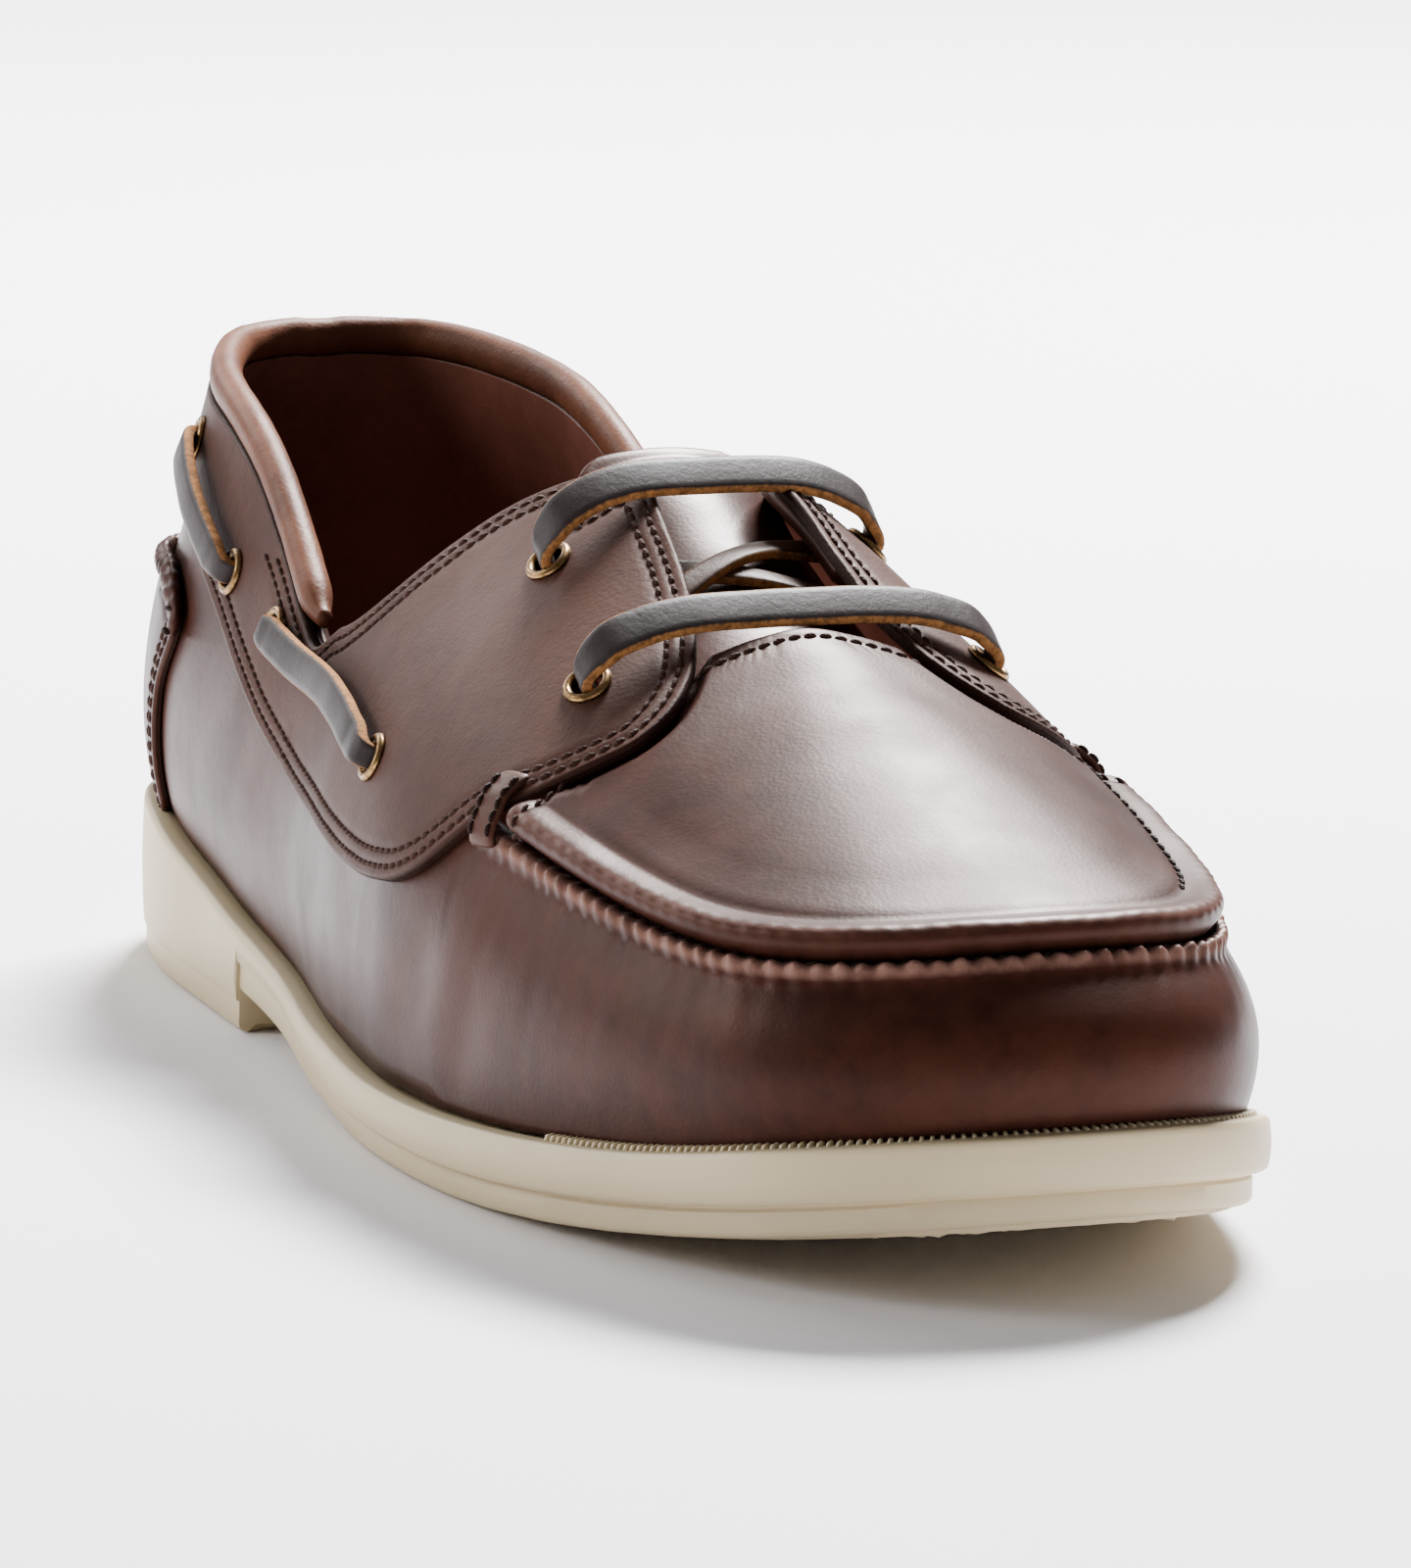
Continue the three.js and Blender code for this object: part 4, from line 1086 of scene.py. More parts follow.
def counter_piece(settings):
    phi = np.arange(-1.0, 1.0 + 1e-9, 0.0085)
    w = np.linspace(0.0, 0.7, 76)

    def fields(points):
        s, z = side_view(points)
        line = smooth_line(columns(COUNTER_EDGE, "s z"), 120)
        return [over_surface(points, inside_distance(s, z, line))]

    panel = Panel(phi, w, fields)
    rows = COUNTER_ROWS
    panel.trim((0, 0.25, 0.6, *rows))
    piece = panel.body("heel_counter_cover", GAP, GAP + COUNTER, 0.6,
                       [finishes["vamp"], finishes["cut_edge"]],
                       lambda d: -0.25 * sum(bell(d["edge"], row, 0.5) for row in rows)
                       * (side_view(last(d["phi"], d["w"]))[0] > 36))
    finish_piece(piece, "upper_leather", "heel_counter")
    seams["counter"] = sum((panel.row(row, lambda s, z: s > 37 and z < 54) for row in rows), [])
    ridge = [line for line in panel.row(0.25, lambda s, z: z > 53.5) if len(line[0]) > 40][0]
    points, normals = ridge
    path = smooth_line(points, 420)
    up = smooth_line(normals, 420)
    u = lengths(path)
    ahead = np.gradient(path, axis=0)
    _, across, up = turned_to(path, ahead, up)
    fade = smoothstep(u, 0, 9) * smoothstep(u[-1] - u, 0, 9)
    pucker = 0.5 + 0.5 * np.cos(TURN * u / settings.pucker_pitch + ripple(u, (29, 17), 4))
    size = (0.55 + 0.55 * pucker) * (0.3 + 0.7 * fade)
    angle = np.arange(12) * TURN / 12

    def section(i):
        return np.stack([np.cos(angle) * (1.7 + 0.25 * size[i]),
                         np.sin(angle) * (0.55 + 0.85 * size[i]) + 0.1], -1)

    path = path + across * (0.25 * ripple(u, (7, 4.1), 9))[:, None]
    # The ridge's outer side is painted lighter through the plug material's crest colour: painted highlight
    # and rub wear.
    ridge_piece = sweep("heel_hand_sewn_ridge", path, across, up, section, [finishes["plug"]],
                        {"crest": np.clip(np.sin(angle), 0, 1) * 0.6})
    finish_piece(ridge_piece, "upper_leather")
    seams["heel"] = [(path + up * 0.9, up)]


def collar_piece(settings):
    span = float(angle_of(111.0))
    phi = np.linspace(-span, span, 300)
    w = reach(phi, lambda p: side_view(p)[1] < along(TOPLINE, "z", np.clip(side_view(p)[0], 0, 175))
              - ROLL_DROP)
    w = np.convolve(np.concatenate([w[:3][::-1], w, w[-3:][::-1]]), np.ones(7) / 7, "valid")
    base = off_last(phi, w, np.full(phi.shape, 0.25 - WALL / 2))
    path = base + np.array([0, 0, 2.75])
    u = lengths(path)
    ahead = np.gradient(path, axis=0)
    _, across, up = turned_to(path, ahead, np.array([0, 0, 1.0]))
    fade = 0.45 + 0.55 * smoothstep(u, 0, 8) * smoothstep(u[-1] - u, 0, 8)
    angle = np.arange(20) * TURN / 20
    lumps = 1 + 0.02 * ripple(u, (34, 21, 9), 6)

    def section(i):
        width = 2.55 * fade[i] * lumps[i]
        height = 2.95 * fade[i] * lumps[i]
        return np.stack([np.sign(np.cos(angle)) * np.abs(np.cos(angle)) ** 0.85 * width,
                         np.sin(angle) * height], -1)

    piece = sweep("collar_padding", path, across, up, section, [finishes["collar"]],
                  {"crest": np.clip(np.sin(angle), 0, 1)})
    finish_piece(piece, "collar_leather", "collar_roll")


def tongue_piece(settings):
    s = np.concatenate([np.linspace(TONGUE["s"][0], 160, 16), np.linspace(161, 214, 54)])
    t = np.linspace(-1, 1, 41)
    half, ridge, drop = (along(TONGUE, key, s)[:, None] for key in ("half", "ridge", "drop"))
    x = THROAT_CENTRE + t[None, :] * half
    z = ridge - drop * t[None, :] ** 2
    rim = np.minimum((1 - np.abs(t))[None, :] * half, (s - TONGUE["s"][0])[:, None])
    z = z - 0.35 * (1 - smoothstep(rim, 0, 0.9)) - 0.2 * bell(rim, 3.0, 0.6)
    z = z + 0.35 * bell(s[:, None], 181, 5) * bell(x, 3, 9) - 0.3 * bell(s[:, None], 190, 5) * bell(x, 0, 10)
    y = np.broadcast_to(LENGTH / 2 - s[:, None], x.shape)
    top = np.stack([x, y, z], -1)
    low = top - np.array([0, 0, TONGUE_WALL - 0.3])
    faces, kinds = thicken(grid_faces(len(s), len(t)), x.size)
    body = np.vstack([top.reshape(-1, 3), low.reshape(-1, 3)])
    piece = shown("tongue_leather", body, outward(body, faces), [finishes["tongue"]], sharp=60)
    finish_piece(piece, "upper_leather", "tongue")


def tongue_top(s, x):
    across = (x - THROAT_CENTRE) / along(TONGUE, "half", s)
    return along(TONGUE, "ridge", s) - along(TONGUE, "drop", s) * across**2


def lace_through(name, places, over, material, narrow=0.66, width=LACE_WIDTH, facing=None):
    """Flat lace out of one eyelet, over a path, and down into the next."""
    ends = []
    for phi, w in places:
        base, normal = last(phi, w), last_normal(phi, w)
        ends.append((base, normal))
    (first, n0), (final, n1) = ends
    points = [first + n0 * h for h in (-1.7, -0.4, 1.4, 2.9)] + list(over) \
        + [final + n1 * h for h in (2.9, 1.4, -0.4, -1.7)]
    path = smooth_line(points, 150)
    u = lengths(path)
    ahead = np.gradient(path, axis=0)
    ahead /= np.linalg.norm(ahead, axis=1, keepdims=True)
    chord = final - first
    across = np.cross(n0 + n1 if facing is None else np.array(facing), chord)
    across = np.tile(across / np.linalg.norm(across), (len(path), 1))
    up = np.cross(ahead, across)
    up /= np.linalg.norm(up, axis=1, keepdims=True)
    across = np.cross(up, ahead)
    shape, rim = strap_section(width, LACE_THICKNESS)
    reach_in = np.minimum(u, u[-1] - u)
    share = narrow + (1 - narrow) * smoothstep(reach_in, 4.0, 10.0)
    wave = 0.05 * ripple(u, (17, 11), 13)

    def section(i):
        cup = 0.5 * (1 - share[i]) * (shape[:, 0] / width * 2) ** 2
        return np.stack([shape[:, 0] * share[i], shape[:, 1] * (1.2 - 0.2 * share[i]) + wave[i] + cup], -1)

    return sweep(name, path, across, up, section, [material], {"rim": rim}, sharp=60)


def laces(settings):
    places = seams["eyelets"]
    for side in SIDES:
        for label, (start, end) in SIDE_LACES.items():
            (p0, w0), (p1, w1) = places[side, start], places[side, end]
            t = np.linspace(0.09, 0.91, 9)
            rise = GAP + OVERLAY + 0.75 + LACE_THICKNESS / 2 + 1.1 * np.sin(math.pi * t) ** 0.5
            over = off_last(p0 + (p1 - p0) * t, w0 + (w1 - w0) * t, rise)
            piece = lace_through(f"rawhide_{side}_{label}", [(p0, w0), (p1, w1)], over, finishes["lace"])
            finish_piece(piece, "lace_leather", f"side_lace_{side}_{label}")
    for label, arch in BARS.items():
        pair = [places["lateral", label], places["medial", label]]
        lift = GAP + OVERLAY + 3.4
        a, b = (off_last(np.array(p), np.array(w), np.array(lift)) for p, w in pair)
        t = np.linspace(0.06, 0.94, 11)
        over = a + (b - a) * t[:, None]
        over[:, 2] += arch * (1 - (2 * t - 1) ** 4)
        piece = lace_through(f"lace_over_{label}", pair, over, finishes["lace"], width=6.4,
                             facing=(0, -0.62, 0.78))
        finish_piece(piece, "lace_leather", f"lace_bar_{label}")
    arms = [(-14.0, 182.0, 17.0, 192.0, 0.3), (-14.0, 191.0, 17.0, 178.5, 1.6)]
    for number, (x0, s0, x1, s1, hump) in enumerate(arms, 1):
        t = np.linspace(0, 1, 60)
        x, s = x0 + (x1 - x0) * t, s0 + (s1 - s0) * t
        ridge = along(TONGUE, "ridge", s)
        z = ridge + 1.3 - 0.4 * (ridge - tongue_top(s, x)) + hump * np.sin(math.pi * t) ** 2
        path = np.stack([x, LENGTH / 2 - s, z], -1)
        _, across, up = turned_to(path, np.gradient(path, axis=0), np.array([0, -0.45, 0.9]))
        shape, rim = strap_section(4.0, 1.7)
        twist = 0.25 * np.sin(TURN * t * 0.8 + number)

        def section(i):
            c, k = math.cos(twist[i]), math.sin(twist[i])
            return shape @ np.array([[c, k], [-k, c]])

        piece = sweep(f"lace_cross_{number}", path, across, up, section, [finishes["lace_suede"]],
                      {"rim": rim}, sharp=60)
        if number == 1:
            finish_piece(piece, "lace_leather", "lace_cross")
        else:
            finish_piece(piece, "lace_leather")


def eyelet_piece(settings):
    profile = [(2.25, -2.0), (2.3, 0.1), (2.42, 0.5), (2.7, 0.78), (3.05, 0.85), (3.4, 0.7),
               (3.65, 0.35), (3.7, 0.0), (3.2, -0.15), (2.6, -0.3), (2.5, -2.0)]
    ring = lathe_part("eyelet_ring", profile, 28)
    lines = []
    for place in seams["eyelets"].values():
        normal = last_normal(*place)
        base = last(*place) + normal * (GAP + OVERLAY + 0.05)
        side = np.cross(normal, [0, 0, 1.0])
        lines.append((np.array([base, base + side * 0.05]), np.array([normal, normal])))
    thing = line_mesh("eyelets", lines)
    run_tree(thing, seams["tree"], finishes["brass"], Part=ring, Pitch=1.0, Size=1.0, Lift=0.0,
             Turn=0.0, Unevenness=0.0)
    nodes = [f"eyelet_{side}_{name}" for side in SIDES for name in EYELETS]
    finish_piece(thing, "eyelet_brass", *nodes)


def tabs(settings):
    """Folded leather tabs over both ends of the moccasin seam."""
    for side, sign in SIDES.items():
        phi, w = locate(sign, TAB_STATION + 1.0, 53.6)
        t = np.linspace(-1, 1, 36)
        base_w = w + t * 0.062
        hump = 2.0 + 1.5 * np.sqrt(np.clip(1 - (t * 1.02) ** 2, 0, 1)) + 0.25 * bell(t, 0.25, 0.2)
        path = off_last(np.full(t.shape, phi), base_w, hump - 0.6)
        normals = last_normal(np.full(t.shape, phi), base_w)
        _, across, up = turned_to(path, np.gradient(path, axis=0), normals)
        angle = np.arange(16) * TURN / 16

        def section(i):
            fold = 0.3 * np.cos(2 * angle)
            x = np.sign(np.cos(angle)) * np.abs(np.cos(angle)) ** 0.7 * 2.9
            return np.stack([x, (0.75 + fold * 0.4) * np.sin(angle)], -1)

        piece = sweep(f"seam_tab_{side}", path, across, up, section, [finishes["saddle_plain"]],
                      {"crest": np.clip(np.sin(angle), 0, 1)})
        finish_piece(piece, "saddle_leather", f"tab_{side}")
        for sway in (-2.1, 2.1):
            row = path[6:-6] + across[6:-6] * sway + up[6:-6] * 0.55
            seams.setdefault("tabs", []).append((row, up[6:-6]))


def sole_piece(settings):
    special = [HEEL_LENGTH - 0.15, HEEL_LENGTH + 0.15]
    for s, width in zip(GROOVES["s"], GROOVES["width"]):
        special += [s - width / 2 - 0.25, s - width / 2, s + width / 2, s + width / 2 + 0.25]
    half = np.unique(np.concatenate([np.linspace(0, math.pi, 190), angle_of(np.array(special))]))
    phi = np.concatenate([half, TURN - half[1:-1][::-1]])
    s = station_of(phi)
    low, top = underside(s), footbed(LENGTH / 2 - s)
    step = 0.5 + 1.7 * smoothstep(s, 110, 185)
    notch = 0.35 * smoothstep(s, 120, 170)
    walls = [(step + 1.4, low), (step + 0.7, low + 0.12), (step + 0.2, low + 0.5),
             (step, low + 1.1), (step, low + TIER - 0.9), (step + notch, low + TIER - 0.45),
             (step + notch * 0.4, low + TIER), (0.25 * step, low + TIER + 0.25),
             (0.08 * step, low + TIER + 0.6), (0.0, low + TIER + 1.2)]
    for share in (0.25, 0.5, 0.75):
        hollow = -0.25 * np.sin(math.pi * share)
        walls.append((hollow, low + TIER + 1.2 + share * (top - 1.2 - low - TIER - 1.2)))
    walls += [(0.0, top - 1.2), (0.12, top - 0.55), (0.5, top - 0.12), (1.0, top), (2.2, top),
              (FEATHER_INSET - 0.5, top - 0.05), (FEATHER_INSET + 0.6, top - 0.5)]
    rings = []
    for distance, z in walls:
        flat, _ = inset(phi, np.full(s.shape, distance))
        rings.append(np.column_stack([flat, np.broadcast_to(z, s.shape)]))
    count = len(phi)
    faces = ring_faces(len(rings), count)
    # Both caps are lines across the sole between the two sides.
    body = np.vstack(rings)
    lines = len(half)
    share = np.concatenate([[0], np.linspace(0.02, 0.98, 33), [1]])
    for ring, upward in ((0, False), (len(rings) - 1, True)):
        grid = []
        for k in range(lines):
            a = ring * count + k
            b = ring * count + ((count - k) % count)
            if k in (0, lines - 1):
                grid.append([a])
                continue
            inner = body[a] + (body[b] - body[a]) * share[1:-1, None]
            inner[:, 2] = footbed(inner[:, 1]) - 0.5 if upward else bottom_height(inner)
            first = len(body)
            body = np.vstack([body, inner])
            grid.append([a, *range(first, first + len(inner)), b])
        for one, two in zip(grid[:-1], grid[1:]):
            if len(one) == 1 or len(two) == 1:
                tip, row = (one[0], two) if len(one) == 1 else (two[0], one)
                new = [[tip, row[j], row[j + 1]] for j in range(len(row) - 1)]
                flip = len(two) == 1
            else:
                new = [[one[j], two[j], two[j + 1], one[j + 1]] for j in range(len(one) - 1)]
                flip = False
            turn = flip != (not upward)
            faces += [face[::-1] for face in new] if turn else new
    piece = shown("rubber_sole", body, consistent(body, faces), [finishes["rubber"]], sharp=38)
    finish_piece(piece, "outsole", "sole")


def consistent(points, faces):
    """Turns faces so that all of them point outwards."""
    work = bmesh.new()
    verts = [work.verts.new(p) for p in points]
    for face in faces:
        work.faces.new([verts[v] for v in face])
    work.verts.index_update()
    bmesh.ops.recalc_face_normals(work, faces=work.faces[:])
    turned = [[v.index for v in face.verts] for face in work.faces]
    work.free()
    return turned


TREAD_RIM = 10.5
TREAD_START = 161.5


def bottom_height(points):
    """Underside: grooves, the sunk bed of the tread, and the waist's plain frame."""
    s = LENGTH / 2 - points[:, 1]
    z = underside(s)
    phi = angle_of(s)
    left = around(OUTLINE, "lateral", "medial", phi)
    right = around(OUTLINE, "lateral", "medial", TURN - phi)
    rim = np.minimum(points[:, 0] - left, right - points[:, 0])
    ends = np.minimum(s, LENGTH - s)
    rim = np.minimum(rim, ends)
    tread = ((s > 4) & (s < HEEL_LENGTH - 3)) | ((s > TREAD_START) & (s < LENGTH - 4))
    bed = np.where(tread, smoothstep(rim, TREAD_RIM - 1.2, TREAD_RIM - 0.4), 0) * 0.85
    for at, width, depth in zip(GROOVES["s"], GROOVES["width"], GROOVES["depth"]):
        inside = (np.abs(s - at) < width / 2 + 0.01) & (rim > 6)
        bed = np.where(inside, depth, bed)
    return z + bed


def tread_ribs(settings):
    lines = []
    pitch = settings.rib_pitch
    for start, end in ((6.5, HEEL_LENGTH - 4), (TREAD_START + 2, LENGTH - 7)):
        for s in np.arange(start, end, pitch):
            if np.min(np.abs(s - GROOVES["s"])) < 2.4:
                continue
            phi = angle_of(s)
            a = around(OUTLINE, "lateral", "medial", phi) + TREAD_RIM
            b = around(OUTLINE, "lateral", "medial", TURN - phi) - TREAD_RIM
            cut = math.sqrt(max(0.0, 1 - (max(0.0, 24 - min(s, LENGTH - s)) / 26) ** 2))
            middle, width = (a + b) / 2, (b - a) * min(1.0, 0.75 + 0.25 * cut)
            if width < 10:
                continue
            half_wave = settings.rib_wave / 2
            x = np.array([math.ceil((middle - width / 2) / half_wave),
                          math.floor((middle + width / 2) / half_wave)]) * half_wave
            z = underside(s) + 0.42
            line = np.column_stack([x, np.full(2, LENGTH / 2 - s), np.full(2, z)])
            lines.append((line, np.array([[0, 0, -1.0]] * 2)))
    thing = line_mesh("tread_ribs", lines)
    run_tree(thing, zigzag_tree(), finishes["rubber"], Half_Wave=settings.rib_wave * MM / 2,
             Swing=2.6 * MM, Width=(pitch - 0.75) * MM, Height=0.74 * MM)
    finish_piece(thing, "outsole")


def waist_frame(settings):
    """Plain raised frame and ring on the waist, without any lettering."""
    corners = np.array([(-17, 121), (15, 121), (15, 139), (-17, 139)], float)
    angle = np.arange(32) * TURN / 32
    circle = np.stack([np.cos(angle) * 5 - 1, np.sin(angle) * 5 + 108], -1)
    for name, outline, thickness in (("waist_frame", corners, 1.2), ("waist_ring", circle, 1.0)):
        centre = outline.mean(0)
        points = []
        away = np.abs(outline - centre).max(0)
        for shrink, height in ((0, 0.1), (0, -0.45), (thickness, -0.45), (thickness, 0.1)):
            for x, s in centre + (outline - centre) * (1 - shrink / away):
                points.append((x, LENGTH / 2 - s, underside(s) + height))
        faces = ring_faces(4, len(outline), closed=True)
        points = np.array(points)
        piece = shown(name, points, outward(points, faces), [finishes["rubber"]], sharp=30)
        finish_piece(piece, "outsole")


def insole_piece(settings):
    distance = FEATHER_INSET + WALL + 0.5
    half = np.linspace(0.06, math.pi - 0.06, 120)
    t = np.linspace(0, 1, 25)
    left, _ = inset(half, np.full(half.shape, distance))
    right, _ = inset(TURN - half, np.full(half.shape, distance))
    flat = left[:, None] * (1 - t)[None, :, None] + right[:, None] * t[None, :, None]
    dish = 0.5 * (2 * t - 1) ** 4
    z = footbed(flat[..., 1]) + GAP + INSOLE - 0.6 + dish[None, :]
    top = np.concatenate([flat, z[..., None]], -1)
    low = top.copy()
    low[..., 2] = footbed(flat[..., 1]) + GAP
    faces, _ = thicken(grid_faces(len(half), len(t)), z.size)
    body = np.vstack([top.reshape(-1, 3), low.reshape(-1, 3)])
    piece = shown("insole_sock", body, outward(body, faces), [finishes["lining"]], sharp=50)
    finish_piece(piece, "lining", "insole")


def milled_edge(settings):
    """Fine teeth along the welt ledge around the front of the foot."""
    start = float(angle_of(237.0))
    phi = np.linspace(start, TURN - start, 500)
    flat, _ = inset(phi, np.full(phi.shape, FEATHER_INSET - 0.95))
    line = np.column_stack([flat, footbed(flat[:, 1]) + 0.05])
    up = np.tile([0, 0, 1.0], (len(phi), 1))
    tooth = part("tooth", [(-0.42, -1.0, -0.4), (0.42, -1.0, -0.4), (0.42, 1.1, -0.4), (-0.42, 1.1, -0.4),
                           (-0.24, -0.6, 0.75), (0.24, -0.6, 0.75), (0.24, 1.1, 0.9), (-0.24, 1.1, 0.9)],
                 [(3, 2, 1, 0), (4, 5, 6, 7), (0, 1, 5, 4), (1, 2, 6, 5), (2, 3, 7, 6), (3, 0, 4, 7)])
    thing = line_mesh("milled_welt", [(line, up)])
    run_tree(thing, seams["tree"], finishes["rubber"], Part=tooth, Pitch=1.4 * MM, Size=1.0, Lift=0.0,
             Turn=0.0, Unevenness=0.03)
    finish_piece(thing, "outsole")


def stitching(settings):
    """All sewn rows: each kind of row has its own stitch, pitch and thread."""
    fine = stitch_part(settings.stitch_pitch * 0.86, 0.36)
    bold = stitch_part(settings.pucker_pitch * 0.78, 0.42)
    machine = (fine, settings.stitch_pitch, 0.10, "thread", 0.09)
    kinds = {
        "saddle": machine,
        "counter": machine,
        "plug_rear": machine,
        "plug_inner": (fine, settings.pucker_pitch, 0.05, "thread_dark", 0.35),
        "moccasin": (bold, settings.pucker_pitch, -0.15, "thread_dark", 0.3),
        "heel": (bold, settings.pucker_pitch * 1.3, 0.1, "thread_dark", 1.1),
        "tabs": (fine, settings.stitch_pitch * 0.8, 0.1, "thread_dark", 0.0),
    }
    for name, (stitch, pitch, lift, finish, turn) in kinds.items():
        thing = line_mesh(f"stitches_{name}", seams[name])
        run_tree(thing, seams["tree"], finishes[finish], Part=stitch, Pitch=pitch * MM, Size=1.0,
                 Lift=lift * MM, Turn=turn, Unevenness=0.05)
        finish_piece(thing, "saddle_leather" if name in ("saddle", "tabs") else "upper_leather")


# Lighter colours painted on the seam crests of vamp and plug: painted highlight, partly rub wear.
VAMP_SHEEN_AND_WEAR = (0.24, 0.125, 0.095)
PLUG_SHEEN_AND_WEAR = (0.085, 0.036, 0.026)


def make_finishes(colours):
    dark, light = colours.leather_dark, colours.leather_light
    finishes.update({
        # Vamp and plug carry a painted highlight with rub wear on their crests.
        "vamp": leather("vamp_leather", dark, light, 0.40, 0.0, 0.16, sheen_and_wear=VAMP_SHEEN_AND_WEAR),
        "plug": leather("plug_leather", dark, light, 0.43, 0.0, 0.16, sheen_and_wear=PLUG_SHEEN_AND_WEAR),
        "tongue": leather("tongue_leather", dark, light, 0.34, 0.05, 0.14),
        "saddle": leather("saddle_leather", colours.saddle_dark, colours.saddle_light, 0.54, 0.0, 0.3,
                          cut_edge=[c * 0.45 for c in colours.saddle_dark]),
        "saddle_plain": leather("tab_leather", colours.saddle_dark, colours.saddle_light, 0.46, 0.06, 0.25),
        "cut_edge": leather("cut_edge", [c * 0.4 for c in dark], [c * 0.7 for c in dark], 0.6, 0.0, 0.4),
        "collar": leather("collar_leather", colours.collar_dark, colours.collar_light, 0.48, 0.0, 0.35),
        "lining": leather("lining_leather", colours.lining, [c * 1.5 for c in colours.lining],
                          0.5, 0.05, 0.2),
        "rubber": rubber("ivory_rubber", colours.rubber, [c * 0.94 for c in colours.rubber]),
        "lace": lace_leather("rawhide", colours.lace_face, colours.lace_edge),
        "lace_suede": lace_leather("rawhide_suede", (0.05, 0.024, 0.013), colours.lace_edge),
        "brass": brass("antique_brass", colours.brass),
        "thread": thread("brown_thread", colours.thread),
        "thread_dark": thread("dark_thread", [c * 0.45 for c in colours.thread]),
    })


def stage(settings):
    """Pale floor that curves up behind, soft lights, and the camera."""
    profile = [(-3.0, 0.0), (2.2, 0.0)]
    profile += [(2.2 + 1.2 * math.sin(a), 1.2 - 1.2 * math.cos(a)) for a in np.linspace(0.15, math.pi / 2, 9)]
    profile.append((3.4, 4.0))
    points = [(x, y, z - 0.0002) for y, z in profile for x in (-5.0, 5.0)]
    faces = [(2 * i, 2 * i + 1, 2 * i + 3, 2 * i + 2) for i in range(len(profile) - 1)]
    mesh = bpy.data.meshes.new("studio_floor")
    mesh.from_pydata(points, [], faces)
    mesh.shade_smooth()
    material, nodes, shader, place = new_material("floor_paint")
    speckle = nodes.noise(place, 3, 2, 0.5)
    paint = nodes.mix(speckle, settings.floor, [c * 0.99 for c in settings.floor])
    nodes.link(paint, shader.inputs["Base Color"])
    shader.inputs["Roughness"].default_value = 0.6
    shader.inputs["Specular IOR Level"].default_value = 0.2
    mesh.materials.append(material)
    floor = bpy.data.objects.new("studio_floor", mesh)
    bpy.context.scene.collection.objects.link(floor)
    world = bpy.data.worlds.new("studio")
    bpy.context.scene.world = world
    world.use_nodes = True
    back = world.node_tree.nodes["Background"]
    back.inputs["Color"].default_value = (0.95, 0.96, 1.0, 1.0)
    back.inputs["Strength"].default_value = settings.world_light
    lamps = {
        "overhead": ((0.75, 0.95, 1.5), (0, -0.05, 0.03), (0.6, 0.5), 43.0),
        "window": ((-1.6, 0.75, 0.8), (0, 0, 0.05), (0.7, 1.0), 4.5),
        "rear": ((-0.6, 1.7, 1.0), (0, 0, 0.05), (1.2, 0.8), 4.0),
    }
    for name, (where, aim, size, power) in lamps.items():
        lamp = bpy.data.lights.new(name, "AREA")
        lamp.shape = "RECTANGLE"
        lamp.size, lamp.size_y = size
        lamp.energy = power * settings.lamp_light
        thing = bpy.data.objects.new(name, lamp)
        thing.location = where
        thing.rotation_euler = (Vector(aim) - Vector(where)).to_track_quat("-Z", "Y").to_euler()
        bpy.context.scene.collection.objects.link(thing)
    make_camera()


# The camera stands where the two shoes' shared frame put it, and is aimed at this shoe.
CAMERA = {"azimuth": -26.1006, "elevation": 7.6317, "roll": 1.4841, "place": (-548.2, -1390.1, 317.4),
          "aim": (-0.1, -28.3, 50.35), "lens": 239.7}


def make_camera():
    """Camera rolled like the hand-held view, aimed at the middle of the shoe."""
    a, e, roll = (math.radians(CAMERA[key]) for key in ("azimuth", "elevation", "roll"))
    level = np.array([math.cos(a), math.sin(a), 0])
    tilted = np.array([math.sin(a) * math.cos(e), -math.cos(a) * math.cos(e), math.sin(e)])
    raised = np.cross(tilted, level)
    up = -math.sin(roll) * level + math.cos(roll) * raised
    place = np.array(CAMERA["place"])
    back = place - np.array(CAMERA["aim"])
    back /= np.linalg.norm(back)
    right = np.cross(up, back)
    right /= np.linalg.norm(right)
    data = bpy.data.cameras.new("camera")
    data.lens = CAMERA["lens"]
    data.sensor_width = 36.0
    data.clip_start, data.clip_end = 0.05, 30
    thing = bpy.data.objects.new("camera", data)
    matrix = np.eye(4)
    matrix[:3, 0], matrix[:3, 1], matrix[:3, 2] = right, np.cross(back, right), back
    matrix[:3, 3] = place * MM
    thing.matrix_world = Matrix(matrix.tolist())
    bpy.context.scene.collection.objects.link(thing)
    bpy.context.scene.camera = thing


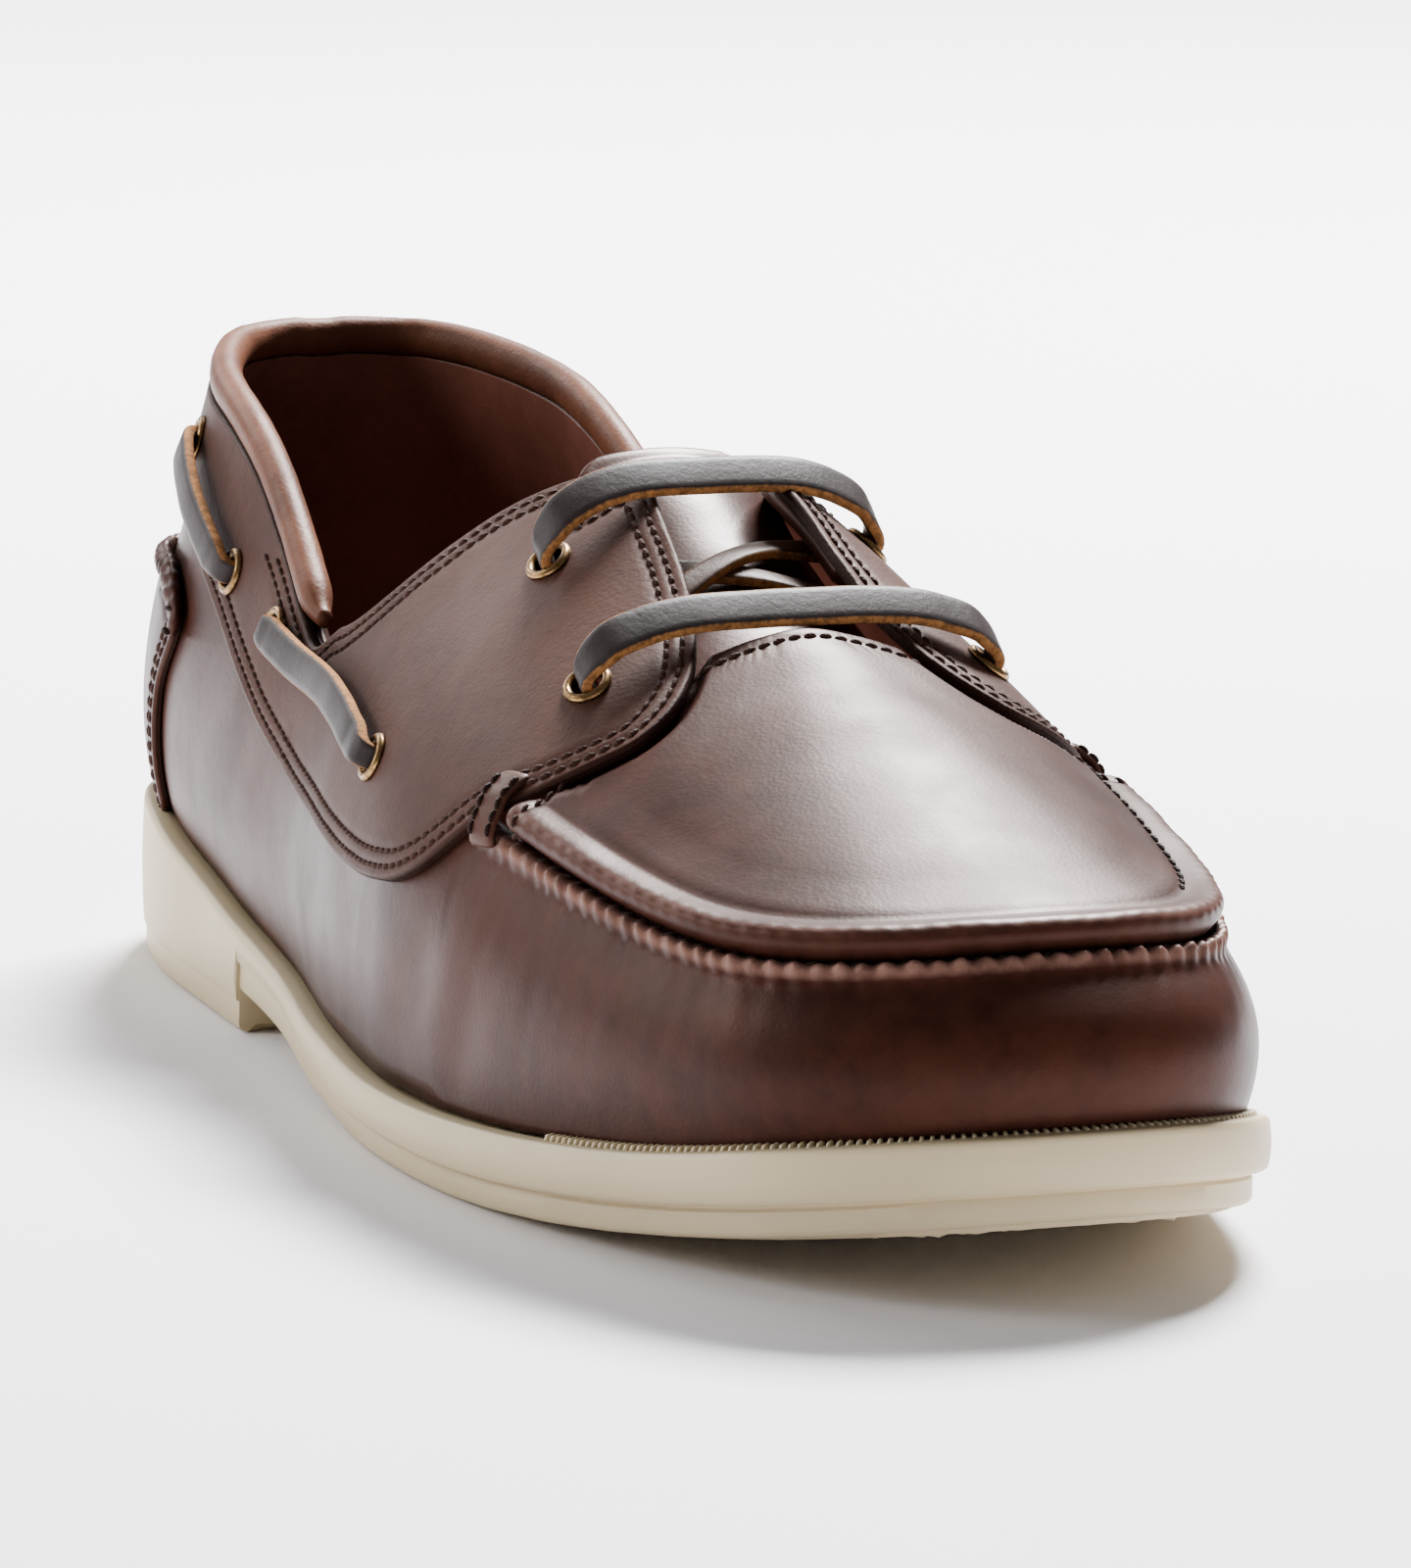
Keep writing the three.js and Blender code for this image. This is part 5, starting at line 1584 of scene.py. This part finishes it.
# Add-on.
class ShoeSizes(bpy.types.PropertyGroup):
    stitch_pitch: bpy.props.FloatProperty(
        name="Stitch Pitch", description="Length of one machine stitch, mm", default=2.3, min=1.5, max=4)
    pucker_pitch: bpy.props.FloatProperty(
        name="Hand Stitch Pitch", description="Length of one hand-sewn stitch, mm", default=3.2, min=2, max=6)
    first_row: bpy.props.FloatProperty(
        name="First Row", description="First stitch row from the saddle's edge, mm", default=1.9)
    row_gap: bpy.props.FloatProperty(
        name="Row Gap", description="Distance between two stitch rows, mm", default=2.2)
    rib_pitch: bpy.props.FloatProperty(
        name="Rib Pitch", description="Distance between tread ribs, mm", default=3.7)
    rib_wave: bpy.props.FloatProperty(
        name="Rib Wave", description="Length of one zigzag of the tread, mm", default=6.0)
    world_light: bpy.props.FloatProperty(
        name="World Light", description="Brightness of the surroundings", default=0.2)
    lamp_light: bpy.props.FloatProperty(
        name="Lamp Light", description="Scale of all studio lamps", default=5.2)
    floor: bpy.props.FloatVectorProperty(
        name="Floor", description="Paint of the floor", subtype="COLOR", size=3,
        default=(0.92, 0.900, 0.925))


def colour(name, default):
    return bpy.props.FloatVectorProperty(
        name=name, description=f"Colour: {name.lower()}", subtype="COLOR", size=3, default=default)


class ShoeColours(bpy.types.PropertyGroup):
    leather_dark: colour("Leather Dark", (0.0180, 0.0050, 0.0031))
    leather_light: colour("Leather Light", (0.0410, 0.0126, 0.0077))
    saddle_dark: colour("Saddle Dark", (0.0350, 0.0130, 0.0085))
    saddle_light: colour("Saddle Light", (0.0560, 0.0225, 0.0148))
    collar_dark: colour("Collar Dark", (0.070, 0.025, 0.0130))
    collar_light: colour("Collar Light", (0.140, 0.052, 0.027))
    lining: colour("Lining", (0.120, 0.046, 0.032))
    rubber: colour("Rubber", (0.56, 0.455, 0.275))
    lace_face: colour("Lace Face", (0.026, 0.020, 0.019))
    lace_edge: colour("Lace Edge", (0.32, 0.14, 0.045))
    brass: colour("Brass", (0.30, 0.175, 0.07))
    thread: colour("Thread", (0.050, 0.021, 0.014))


class SHOE_OT_finishes(bpy.types.Operator):
    """Make the leathers, rubber, brass and threads"""

    bl_idname = "shoe.finishes"
    bl_label = "Finishes"

    def execute(self, context):
        make_finishes(context.scene.shoe_colours)
        seams["tree"] = row_tree()
        seams["eyelets"] = eyelet_places()
        return {"FINISHED"}


def operator(idname, label, text, *makers):
    """Operator class for one piece or group of like pieces."""

    def execute(self, context):
        for maker in makers:
            maker(context.scene.shoe_sizes)
        return {"FINISHED"}

    return type(f"SHOE_OT_{idname}", (bpy.types.Operator,), {
        "__doc__": text, "bl_idname": f"shoe.{idname}", "bl_label": label, "execute": execute})


PIECES = [
    SHOE_OT_finishes,
    operator("sole", "Sole", "Make the rubber sole, tread and milled welt",
             sole_piece, tread_ribs, waist_frame, milled_edge),
    operator("insole", "Insole", "Make the insole sock", insole_piece),
    operator("upper", "Upper", "Make the vamp and quarters", upper_piece),
    operator("plug", "Plug", "Make the plug with its raised edge", plug_piece),
    operator("saddle", "Saddle", "Make the saddle with its eyelet holes", saddle_piece),
    operator("counter", "Heel Counter", "Make the heel counter and its hand-sewn ridge", counter_piece),
    operator("collar", "Collar", "Make the padded collar", collar_piece),
    operator("tongue", "Tongue", "Make the tongue", tongue_piece),
    operator("tabs", "Tabs", "Make the tabs over the seam's ends", tabs),
    operator("eyelets", "Eyelets", "Set the brass eyelets", eyelet_piece),
    operator("laces", "Laces", "Run the rawhide laces", laces),
    operator("stitching", "Stitching", "Sew all rows", stitching),
    operator("stage", "Stage", "Set the floor, lights and camera", stage),
]


class SHOE_PT_panel(bpy.types.Panel):
    """Lists the shoe's operators"""

    bl_label = "Boat Shoe"
    bl_idname = "SHOE_PT_panel"
    bl_space_type = "VIEW_3D"
    bl_region_type = "UI"
    bl_category = "Shoe"

    def draw(self, context):
        for piece in PIECES:
            self.layout.operator(piece.bl_idname)


CLASSES = [ShoeSizes, ShoeColours, *PIECES, SHOE_PT_panel]


def register():
    for cls in CLASSES:
        bpy.utils.register_class(cls)
    bpy.types.Scene.shoe_sizes = bpy.props.PointerProperty(type=ShoeSizes)
    bpy.types.Scene.shoe_colours = bpy.props.PointerProperty(type=ShoeColours)


def unregister():
    del bpy.types.Scene.shoe_colours
    del bpy.types.Scene.shoe_sizes
    for cls in reversed(CLASSES):
        bpy.utils.unregister_class(cls)


def main():
    register()
    for piece in PIECES:
        group, name = piece.bl_idname.split(".")
        getattr(getattr(bpy.ops, group), name)()


if __name__ == "__main__":
    main()
